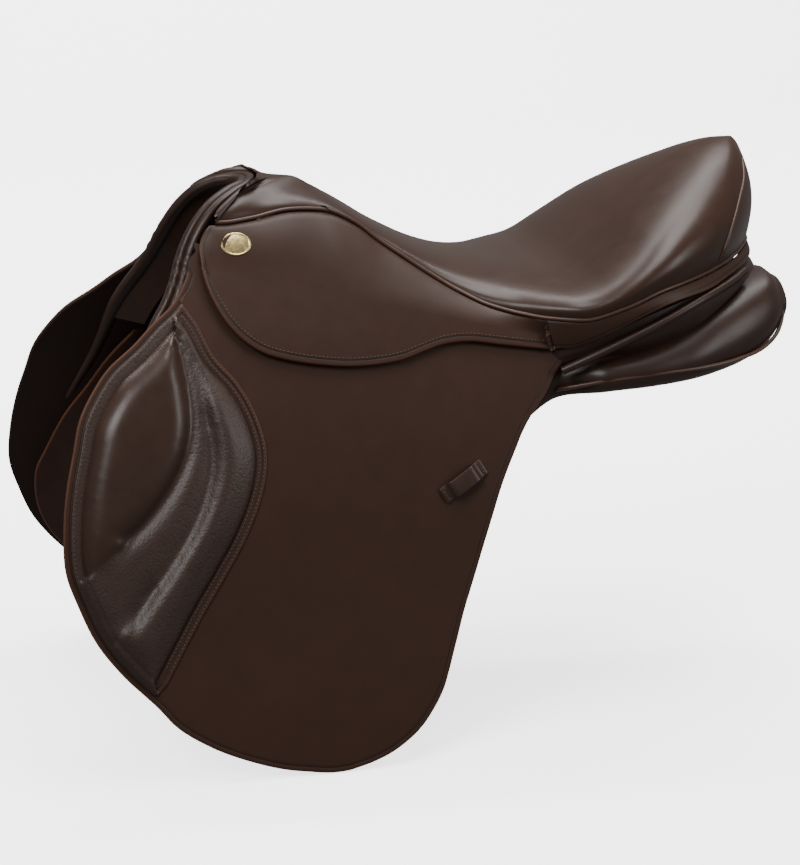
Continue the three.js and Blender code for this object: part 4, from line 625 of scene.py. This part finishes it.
def skirt_upper():
    nr = 26; G = np.zeros((len(cols), nr, 3)); ED = np.zeros((len(cols), nr)); fe = poly_resample(np.vstack([[[246.2, 110.0]], frT[:-2]]), 1.0)
    for i, (T, B, w, rear) in enumerate(cols):
        L = np.linalg.norm(B - T); t = np.linspace(0, 1, nr); e = 0.5 / max(L, 3)
        t = np.where(t > 0.8, 1 - (1 - t) * (0.55 + 0.45 * (1 - t) / 0.2), t)
        dn = None
        if not rear: x0 = B[0]; dn = unit(S(x0 + 0.24, Hz(x0) - 1, OUT) - S(x0, Hz(x0), OUT))
        tang = unit(cols[min(len(cols)-1, i+1)][0] - cols[max(0, i-1)][0]); nn = unit(np.cross(tang, unit(B - T)))
        if np.dot(nn, [0 if T[0] > -60 else (T[0] + 60) * 0.01, 1 if T[0] > -60 else T[1] * 0.012, 0.6]) < 0: nn = -nn
        m0 = (B - T) + nn * L * (0.30 if not rear else 0.22); m1r = (B - T) - nn * L * 0.22
        m1 = m1r if rear and w <= 0 else (dn * L if dn is not None else m1r)
        tt = t[:, None]; G[i] = (2*tt**3-3*tt**2+1)*T + (tt**3-2*tt**2+tt)*m0 + (-2*tt**3+3*tt**2)*B + (tt**3-tt**2)*m1
        if rear: ED[i] = (1 - t) * L
        else:
            zz = G[i][:, 2] - 2.6; ED[i] = seg_dist(np.stack([G[i][:, 0], zz], 1), fe) if i < 60 else 60
    N = unit(np.cross(np.gradient(G, axis=0), np.gradient(G, axis=1)))
    for i in range(len(cols)):
        h = np.array([0 if G[i, 0, 0] > -60 else (G[i, 0, 0] + 60) * 0.01, 1 if G[i, 0, 0] > -60 else G[i, 0, 1] * 0.012, 0.6])
        s = np.sign(N[i] @ h); s[s == 0] = 1; N[i] *= s[:, None]
    drop = rnd(ED, 1.6)[..., None]; top = np.clip(np.arange(nr) / 2.0, 0, 1)[None, :, None]
    A = G - N * drop - N * (1 - top) * 0.9; Bq = G - N * (4.2 - drop * 0.8)
    Bq[..., 1] = np.maximum(Bq[..., 1], 0.6); A[..., 1] = np.maximum(A[..., 1], 0.6)
    V, F = slab(A, Bq); return V, F, {"edge": np.r_[ED.ravel(), ED.ravel()], "face": np.r_[np.ones(ED.size), np.zeros(ED.size)]}
uV, uF, uA = skirt_upper()
xf = np.linspace(246.2, -26.5, 130)
SK_OUT = np.vstack([cE, np.stack([xf, Hz(xf)], 1)[1:]])
def sk_top(d, x, z): return OUT - rnd(d, 1.7) - 0.30 * np.exp(-((d - 3.9) / 0.45) ** 2)
sV, sF, sA = patch(SK_OUT, sk_top, lambda d, x, z: INN + rnd(d, 1.3), edge=np.vstack([cE]), rings=(0.5, 1.1, 1.8, 2.6, 3.3, 3.9, 4.5, 6.5, 9.5), cell=5.0, step=2.4)
for side, sg in SIDES:
    o = new_mesh("skirt_top_" + side, uV, uF, uA, sg < 0, sharp=40); give(o, M["skirt"], "flap_leather"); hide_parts("skirt_upper_" + side)
    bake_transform(o)
    o = new_mesh("skirt_fall_" + side, sV, sF, sA, sg < 0, sharp=40); give(o, M["skirt"], "flap_leather"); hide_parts("skirt_" + side)
    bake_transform(o)

# ------------------------------------------------------------------ oval nail
def nail():
    n, c, rings = 40, (217.4, 131.5), []
    for k, o in ((0.80, 1.0), (0.96, 1.15), (1.0, 1.5), (0.985, 1.95), (0.93, 2.15), (0.88, 2.05), (0.85, 1.8), (0.80, 1.85), (0.6, 2.15), (0.35, 2.35), (0.12, 2.42)):
        w = np.arange(n) * 2 * np.pi / n; rings.append(S(c[0] + 12 * k * np.cos(w), c[1] + 8 * k * np.sin(w), OUT + o))
    return loft(rings)
nv = nail()
for side, sg in SIDES:
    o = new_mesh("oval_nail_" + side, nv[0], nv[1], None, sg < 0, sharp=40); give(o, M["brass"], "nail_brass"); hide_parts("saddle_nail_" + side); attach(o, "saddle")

# ------------------------------------------------------------------ panels
ST = [
 [-229,[[44,78],[56,80],[70,74],[80,62],[76,50],[64,46],[50,52],[42,66]]],[-220,[[36,84],[54,86],[78,78],[90,60],[86,42],[68,34],[46,44],[34,66]]],
 [-200,[[34,86],[60,84],[92,72],[103,50],[98,30],[74,24],[44,38],[32,64]]],[-172,[[34,80],[66,76],[102,64],[114,42],[109,22],[80,19],[44,34],[32,58]]],
 [-134,[[34,70],[70,62],[110,52],[125,34],[120,17],[86,17],[44,32],[32,52]]],[-98,[[34,62],[72,54],[112,44],[128,30],[124,15],[88,15],[44,30],[32,47]]],
 [-66,[[34,58],[70,48],[108,40],[125,27],[122,13],[88,13],[44,28],[32,44]]],[-30,[[34,60],[64,46],[90,36],[104,20],[100,4],[80,6],[46,26],[32,44]]]]
def front_st(x, zu, zl):
    q = lambda z, o: list(S(x, z, o)[1:]); zm = (zu + zl) / 2
    return [x, [q(zu, -33), q(zm + 14, -33), q(zl + 26, -30), q(zl, -26), q(zl + 4, -31), q(zm - 6, -50), q(zu - 16, -54), q(zu - 3, -45)]]
for a in ((20,74,-30),(60,76,-58),(110,86,-78),(150,92,-90),(190,92,-96),(220,82,-98),(250,56,-94),(272,26,-84),(290,-8,-70),(300,-26,-56)): ST.append(front_st(*a))
def panel():
    M_, X = 56, np.array([s[0] for s in ST], float); secs = []
    for x, q in ST:
        P = np.array(q, float); n = len(P); out = []
        for k in range(M_):
            t = k * n / M_; i = int(t); t -= i; p = [P[(i + j) % n] for j in (-1, 0, 1, 2)]
            a, b, c = [max(1e-6, np.linalg.norm(v) ** 0.5) for v in (p[1]-p[0], p[2]-p[1], p[3]-p[2])]
            m1 = ((p[1]-p[0])/a - (p[2]-p[0])/(a+b) + (p[2]-p[1])/b) * b; m2 = ((p[2]-p[1])/b - (p[3]-p[1])/(b+c) + (p[3]-p[2])/c) * b
            out.append((2*t**3-3*t**2+1)*p[1] + (t**3-2*t**2+t)*m1 + (-2*t**3+3*t**2)*p[2] + (t**3-t**2)*m2)
        secs.append(out)
    secs = np.array(secs); fy = [pchip(X, secs[:, k, 0]) for k in range(M_)]; fz = [pchip(X, secs[:, k, 1]) for k in range(M_)]
    xs = np.linspace(X[0], X[-1], 150); R = np.stack([np.stack([np.full(M_, x), [f(x) for f in fy], [f(x) for f in fz]], 1) for x in xs])
    def cap(r, d, n=9):
        c = r.mean(0); out = []
        for t in np.linspace(0.12, 0.98, n): q = c + (r - c) * math.cos(t * math.pi / 2) ** 0.8; q[:, 0] = r[0, 0] + d * math.sin(t * math.pi / 2); out.append(q)
        return out
    R = list(reversed(cap(R[0], -6.5))) + list(R) + cap(R[-1], 5.0)
    return loft(R)
pv = panel()
pwelt = catmull([[-30, 104.5, 12], [-36, 112.5, 15.5], [-68, 124.4, 22.5], [-112, 126.6, 26], [-152, 120.6, 27], [-177, 112.6, 28.5], [-205, 99.5, 33], [-222, 87.5, 43], [-229.5, 77, 58], [-229.8, 66, 72]], 240)
pw = tube(pwelt, 1.7, 10)
roll = catmull([[-30.5, 116.5, 31], [-58.7, 123, 44.5], [-98.5, 125.5, 62], [-143.6, 114.5, 79], [-176, 93, 86], [-197.5, 72, 90]], 200)
rl = tube(roll, 3.4, 14)
def facing():     # leather wall of the panel between its roll and the skirt's strip
    T = catmull([[-27, 106, 45], [-40, 113, 49], [-64, 119, 58], [-98, 120, 71], [-140, 108, 81], [-172, 86, 85], [-198, 60, 90], [-213, 34, 92], [-217, 16, 92]], 120)
    B = catmull([[-27, 98, 26], [-40, 104, 32], [-64, 110, 36], [-98, 114, 41], [-140, 106, 51], [-172, 92, 62], [-198, 74, 74], [-212, 56, 80], [-218, 40, 80]], 120)
    t = np.linspace(0, 1, 14)[None, :, None]; G = T[:, None] * (1 - t) + B[:, None] * t; N = unit(np.cross(np.gradient(G, axis=0), np.gradient(G, axis=1)))
    s = np.sign((N * [-0.4, 1, 0.2]).sum(2, keepdims=True)); N = N * np.where(s == 0, 1, s); G = G + N * 3.0 * np.sin(np.pi * t) ; return slab(G, G - N * 2.0)
fc = facing()
for side, sg in SIDES:
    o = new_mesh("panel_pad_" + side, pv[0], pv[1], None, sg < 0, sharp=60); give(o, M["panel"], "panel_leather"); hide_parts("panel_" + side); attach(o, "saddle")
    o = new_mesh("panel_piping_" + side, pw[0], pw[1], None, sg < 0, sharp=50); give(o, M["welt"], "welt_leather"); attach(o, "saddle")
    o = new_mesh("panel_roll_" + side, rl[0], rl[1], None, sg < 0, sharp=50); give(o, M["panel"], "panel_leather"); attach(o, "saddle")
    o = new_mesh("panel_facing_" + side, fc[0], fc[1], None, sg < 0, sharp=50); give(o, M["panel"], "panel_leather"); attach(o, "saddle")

# ------------------------------------------------------------------ sweat flap, blocks, pocket
SFc = catmull([[271.6,40.9],[292.7,14.8],[309.3,-11.5],[327.8,-38.4],[343.3,-71.2],[350.8,-89.6],[350.5,-116.3],[342,-142],[320,-172],[288,-202],[250,-222],[210,-236],[184,-240]], 200)
SRc = catmull([[3,-2],[14,-22],[28,-50],[40,-76],[52,-104],[64,-134],[76,-166],[88,-194],[104,-216],[126,-233],[158,-243]], 160)
SW = np.vstack([SRc, SFc[::-1]])
SWE = np.vstack([SRc, SFc[::-1]])
wv = patch(SW, lambda d, x, z: -18.2 - rnd(d, 1.2) - 0.3 * np.exp(-((d - 4.1) / 0.5) ** 2), lambda d, x, z: -21.4 + rnd(d, 1.2), edge=SWE, cell=8.0, step=3.5)
def block(Rr, Ff, h):
    R, Fq = catmull(Rr, 40), catmull(Ff, 40); O_ = np.vstack([R, Fq[::-1]])
    w = np.linalg.norm(R[20] - Fq[20]) / 2
    return patch(O_, lambda d, x, z: -17.6 + 1.2 + (h - 1.4) * (1 - (1 - np.clip(d / (w * 0.92), 0, 1)) ** 2) ** 0.6 - rnd(d, 0.9), lambda d, x, z: -17.55 + 0 * d, rings=(0.5, 1.1, 2.0, 3.2, 5.0), cell=3.4, step=2.2)
kb = block([[266,-2],[272,-30],[278,-62],[286,-92],[300,-120]], [[300,-8],[312,-34],[325,-66],[331,-96],[330,-122]], 9.6)
tb = block([[18,-6],[26,-24],[36,-48],[46,-72],[55,-96]], [[40,-6],[50,-24],[58,-48],[64,-72],[66,-96]], 8.6)
pp = patch(np.vstack([catmull([[150,62],[151,44],[154,26],[160,14]], 30), catmull([[176,14],[184,26],[186,44],[186,62]], 30)]), lambda d, x, z: -15.9 - rnd(d, 0.5), lambda d, x, z: -17.4 + 0 * d, rings=(0.4, 0.9, 2.0, 3.0, 4.5), cell=4, step=2)
ppst = surf_stitch(catmull([[152.4,60],[153.4,44],[156.2,27],[161.4,16.6],[174.6,16.6],[181.7,27],[183.6,44],[183.6,60]], 120), -15.85)
for side, sg in SIDES:
    for nm, g, mat, sl, rep, pad_ in (("sweat_leather_", wv, M["sweat"], "panel_leather", "sweat_flap_", 0), ("knee_block_pad_", kb, M["panel"], "panel_leather", "knee_block_", 1), ("thigh_block_pad_", tb, M["panel"], "panel_leather", "thigh_block_", 1), ("point_pocket_leather_", pp, M["keeper"], "flap_leather", "point_pocket_", 0)):
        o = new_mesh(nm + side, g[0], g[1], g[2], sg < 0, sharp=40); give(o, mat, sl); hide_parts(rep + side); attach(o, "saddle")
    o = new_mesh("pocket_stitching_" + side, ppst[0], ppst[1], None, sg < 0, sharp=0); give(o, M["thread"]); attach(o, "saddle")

# ------------------------------------------------------------------ girth straps and buckle guard
for nm, x in zip(("front", "middle", "rear"), (152, 122, 92)):
    L_ = [[x-12.5, 56], [x-12.5, -172], [x-11.6, -178.5], [x-9, -183], [x-5, -185], [x+5, -185], [x+9, -183], [x+11.6, -178.5], [x+12.5, -172], [x+12.5, 56]]
    circ = lambda zc_: np.array([[x + 2.1 * math.cos(a), zc_ + 2.1 * math.sin(a)] for a in np.arange(12) * math.pi / 6])
    g = patch(np.array(L_, float), lambda d, x_, z: -9.6 - rnd(d, 0.9) - 0.25 * np.exp(-((d - 2.5) / 0.4) ** 2), lambda d, x_, z: -13.0 + rnd(d, 0.9), holes=[circ(-160 + 22 * k) for k in range(8)], rings=(0.4, 0.9, 1.7, 2.5, 3.3, 5.0), cell=4.5, step=1.5)
    for side, sg in SIDES:
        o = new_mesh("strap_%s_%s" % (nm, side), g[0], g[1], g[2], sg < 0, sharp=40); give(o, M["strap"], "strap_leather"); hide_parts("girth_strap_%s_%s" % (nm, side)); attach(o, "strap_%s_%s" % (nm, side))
gx0, gx1 = 92 - 21, 152 + 21
GO = np.array([[gx0+6, 8], [gx0+1, 2], [gx0, -8], [gx0, -80], [gx0+3, -88], [gx0+12, -92], [gx1-12, -92], [gx1-3, -88], [gx1, -80], [gx1, -8], [gx1-1, 2], [gx1-6, 8]], float)
gparts = [patch(GO, lambda d, x, z: -6.0 - rnd(d, 0.8) - 0.25 * np.exp(-((d - 3.2) / 0.4) ** 2), lambda d, x, z: -8.4 + rnd(d, 0.8), rings=(0.4, 0.9, 1.7, 2.5, 3.2, 3.9, 6.0), cell=6, step=2.5)[:2]]
gparts.append(patch(np.array([[gx0+4, -14], [gx1-4, -14], [gx1-4, 0], [gx0+4, 0]], float), lambda d, x, z: -14.2 - rnd(d, 0.6), lambda d, x, z: -16.0 + rnd(d, 0.6), rings=(0.4, 0.9, 2.0), cell=5, step=2)[:2])
for xx in (gx0+4, 92+13.8, 122+13.8, gx1-6.4):
    gparts.append(patch(np.array([[xx, -14], [xx+2.4, -14], [xx+2.4, 0], [xx, 0]], float), lambda d, x, z: -8.3 + 0*d, lambda d, x, z: -14.3 + 0*d, rings=(0.5,), cell=3, step=1.2)[:2])
gv = join(gparts)
gst = join([surf_stitch(np.array([[a, -0.8], [a, -13.2]]), -5.95, pitch=2.8, ln=2.0) for a in (gx0+5.2, 92+15, 122+15, gx1-5.2)])
for side, sg in SIDES:
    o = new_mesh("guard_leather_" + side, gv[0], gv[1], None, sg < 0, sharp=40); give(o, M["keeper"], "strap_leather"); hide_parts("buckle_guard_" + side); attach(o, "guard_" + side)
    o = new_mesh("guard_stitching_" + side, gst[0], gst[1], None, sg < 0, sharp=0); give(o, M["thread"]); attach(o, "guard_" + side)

# ------------------------------------------------------------------ dee rings, bevelled copies of webs, bars and tabs
def dee():
    c = S(196, 118, -22); w = 11.0; P = []
    for t in np.linspace(0, math.pi, 40): P.append([math.cos(t) * w, -9 - math.sin(t) * w])
    for t in np.linspace(0, 1, 10)[1:]: P.append([-w, -9 + 7.4 * t])
    for a in np.linspace(180, 90, 7)[1:]: P.append([-w + 1.6 + 1.6 * math.cos(math.radians(a)), -1.6 + 1.6 * math.sin(math.radians(a))])
    for t in np.linspace(-w + 1.6, w - 1.6, 14)[1:]: P.append([t, 0])
    for a in np.linspace(90, 0, 7)[1:]: P.append([w - 1.6 + 1.6 * math.cos(math.radians(a)), -1.6 + 1.6 * math.sin(math.radians(a))])
    for t in np.linspace(0, 1, 10)[1:-1]: P.append([w, -1.6 - 7.4 * t])
    P = np.array(P); n = len(P); V = []
    for i in range(n):
        t = unit(P[(i+1) % n] - P[i-1]); s = np.array([-t[1], t[0]]); v = np.arange(10) * 2 * np.pi / 10
        ring = np.stack([np.zeros(10) + 0, P[i, 0] + s[0] * 1.5 * np.cos(v), P[i, 1] + s[1] * 1.5 * np.cos(v)], 1); ring[:, 0] = 1.5 * np.sin(v)
        V.append(ring)
    V = np.array(V); V = np.stack([V[..., 1] * 0 + V[..., 0], V[..., 1], V[..., 2]], -1) + c
    return V.reshape(-1, 3), orient_out(V.reshape(-1, 3), grid_faces(n, 10, True, True))
dv = dee()
for side, sg in SIDES:
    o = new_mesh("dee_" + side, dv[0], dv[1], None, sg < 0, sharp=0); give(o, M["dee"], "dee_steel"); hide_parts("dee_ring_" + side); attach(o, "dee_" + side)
def bevelled(node, name, mat, slot, body, w, seg=3, sub=0, angle=35):
    import bmesh
    me = NODES[node].data.copy(); me.name = name; bm = bmesh.new(); bm.from_mesh(me)
    bmesh.ops.remove_doubles(bm, verts=bm.verts, dist=1e-5)
    bmesh.ops.dissolve_limit(bm, angle_limit=math.radians(1), verts=bm.verts, edges=bm.edges)
    if w: bmesh.ops.bevel(bm, geom=[e for e in bm.edges if len(e.link_faces) == 2 and e.calc_face_angle() > math.radians(angle)], offset=w / 1000, segments=seg, profile=0.5, affect="EDGES", clamp_overlap=True)
    bmesh.ops.triangulate(bm, faces=[f for f in bm.faces if len(f.verts) > 4])
    for f in bm.faces: f.smooth = True
    bm.to_mesh(me); bm.free(); me.set_sharp_from_angle(angle=math.radians(30))
    o = bpy.data.objects.new(name, me); bpy.context.scene.collection.objects.link(o)
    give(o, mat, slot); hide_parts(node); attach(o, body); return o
for side, sg in SIDES:
    bevelled("stirrup_bar_" + side, "stirrup_bar_forged_" + side, M["steel"], "bar_steel", "saddle", 0.7)
    bevelled("bar_catch_" + side, "bar_catch_forged_" + side, M["steel"], "bar_steel", "catch_" + side, 0.6)
    bevelled("dee_chape_" + side, "dee_tab_" + side, M["keeper"], "flap_leather", "saddle", 0.5)
    bevelled("straining_web_" + side, "straining_webbing_" + side, M["web"], "webbing", "saddle", 0.4)
bevelled("girth_web_front", "girth_webbing_front", M["web"], "webbing", "saddle", 0.4)
bevelled("girth_web_rear", "girth_webbing_rear", M["web"], "webbing", "saddle", 0.4)
bevelled("waist_web", "waist_webbing", M["web"], "webbing", "saddle", 0.4)
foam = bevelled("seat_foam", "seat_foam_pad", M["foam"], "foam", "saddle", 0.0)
def front_arch():
    P = [[325,112.6,-28],[315,107.4,-10],[304.5,100,11],[297,90,32],[292,80,50],[287,72.5,64],[280,67,77],[270,61.5,92],[262,54,107],[256.5,47,121],[250,41.5,135],[241,37,149],[229,31.5,161],[214,23.5,169],[201,13,172.4],[196,0,173.2]]
    full = np.array(P + [[p[0], -p[1], p[2]] for p in P[-2::-1]], float); c = catmull(full, 361); m = 180
    sec = catmull([[-7,-1.5],[-6.4,1.7],[-3,2.7],[-0.9,2.0],[-0.3,1.3],[0.4,2.0],[2.2,2.8],[5.5,1.7],[7.5,-1.8],[6.2,-5.2],[1,-6.6],[-5,-5]], 44, closed=True)
    R = []; T = unit(np.gradient(c, axis=0))
    for i in range(361):
        k = abs(i - m) / m; end = min(1, (m - abs(i - m) + 1.5) / 70) ** 0.7; t = T[i]; s = (m - i) / m
        n = np.array([0.25, np.sign(s) * (0.15 + 0.85 * min(1, k * 1.6)) * sstep(k / 0.12), 1 - 0.55 * k]); n = unit(n - t * n.dot(t))
        w = unit(np.cross(t, n)); w = -w if w[0] < 0 else w
        wr = 0.35 * math.sin(i * 0.9) * math.exp(-((k - 0.40) / 0.08) ** 2)     # small creases where the leather bends
        R.append(c[i] + (0.55 + 0.45 * end) * end ** 0.3 * (sec[:, :1] * w + (sec[:, 1:] * (1 + 0.12 * wr) + wr) * n))
    lin = c[60:301]; A = lin + (T[60:301] * 0) + np.array([0, 0, -2.5]); half = np.abs(np.linspace(-1, 1, 241))
    back = A * [1, 0.86, 1] + np.stack([-24 - 10 * (1 - half), 0 * half, -7 + 2 * half], 1)
    G = A[:, None] * (1 - np.linspace(0, 1, 10)[None, :, None]) + back[:, None] * np.linspace(0, 1, 10)[None, :, None]
    Gi = G * [1, 0.955, 1] - [0, 0, 1.6]
    return join([loft(R), slab(G, Gi)])
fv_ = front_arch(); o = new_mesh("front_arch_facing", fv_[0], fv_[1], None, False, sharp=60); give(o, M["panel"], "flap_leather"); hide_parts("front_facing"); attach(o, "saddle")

# ------------------------------------------------------------------ edge stitching of the skirt
fe = 1 if inset_curve(cF, 5, 1)[120, 0] < cF[120, 0] else -1
se = 1 if inset_curve(cE, 5, 1)[150, 1] > cE[150, 1] else -1
sk = surf_stitch(inset_curve(cE, 5.6, se)[8:-14], OUT)
for side, sg in SIDES:
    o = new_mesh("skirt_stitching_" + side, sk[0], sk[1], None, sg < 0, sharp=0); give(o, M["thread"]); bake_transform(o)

# ------------------------------------------------------------------ stage, lights and camera
def floor():
    me = bpy.data.meshes.new("floor"); z = -0.2572; s = 6.0; V, F = [], []
    prof = [(-s, 0), (-2.2, 0)] + [(-2.2 - 1.6 * math.sin(a), 1.6 - 1.6 * math.cos(a)) for a in np.linspace(0, math.pi / 2, 16)[1:]] + [(-3.8, 5.0)]
    prof = [(s, 0), (-2.2, 0)] + [(-2.2 - 1.6 * math.sin(a), 1.6 - 1.6 * math.cos(a)) for a in np.linspace(0, math.pi / 2, 16)[1:]] + [(-3.8, 5.0)]
    for y, h in prof: V += [(-s, y, z + h), (s, y, z + h)]
    for i in range(len(prof) - 1): F.append((2*i, 2*i+1, 2*i+3, 2*i+2))
    me.from_pydata(V, [], F); me.polygons.foreach_set("use_smooth", [True] * len(F)); o = bpy.data.objects.new("floor", me); bpy.context.scene.collection.objects.link(o)
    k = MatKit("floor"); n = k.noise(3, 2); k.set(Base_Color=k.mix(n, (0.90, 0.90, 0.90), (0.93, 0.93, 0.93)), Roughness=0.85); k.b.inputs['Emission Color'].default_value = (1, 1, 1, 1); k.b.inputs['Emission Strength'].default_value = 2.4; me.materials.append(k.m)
floor()
w = bpy.data.worlds.new("studio"); bpy.context.scene.world = w; w.use_nodes = True
w.node_tree.nodes["Background"].inputs[0].default_value = (1, 1, 1, 1); w.node_tree.nodes["Background"].inputs[1].default_value = 0.30
def area(name, loc_, target, size, power, col=(1, 1, 1)):
    l = bpy.data.lights.new(name, "AREA"); l.shape = "RECTANGLE"; l.size, l.size_y = size; l.energy = power; l.color = col
    o = bpy.data.objects.new(name, l); bpy.context.scene.collection.objects.link(o); o.location = loc_
    o.rotation_euler = (Vector(target) - Vector(loc_)).to_track_quat("-Z", "Y").to_euler(); return o
bpy.data.objects["floor"].visible_glossy = False; bpy.data.objects["floor"].visible_diffuse = False
area("key", (1.7, 1.5, 1.9), (0.05, 0, 0), (1.2, 1.0), 60)
area("top", (-0.2, 0.1, 2.3), (0, 0, 0), (1.6, 1.0), 60)
area("side", (-1.8, 1.5, 0.9), (-0.05, 0, 0.05), (0.7, 1.3), 24)
area("backdrop_light", (0.0, -1.3, 2.6), (0.0, -3.4, 0.4), (4.0, 0.8), 260)
cam = bpy.data.cameras.new("camera"); co = bpy.data.objects.new("camera", cam); bpy.context.scene.collection.objects.link(co)
th, ph, D = math.radians(15), math.radians(17), 2.6
tgt = Vector((0.070, 0.0, -0.046)); co.location = tgt + D * Vector((math.sin(th) * math.cos(ph), math.cos(th) * math.cos(ph), math.sin(ph)))
co.rotation_euler = (tgt - co.location).to_track_quat("-Z", "Y").to_euler(); cam.sensor_width = 36; cam.lens = 132.55; cam.clip_end = 30
bpy.context.scene.camera = co
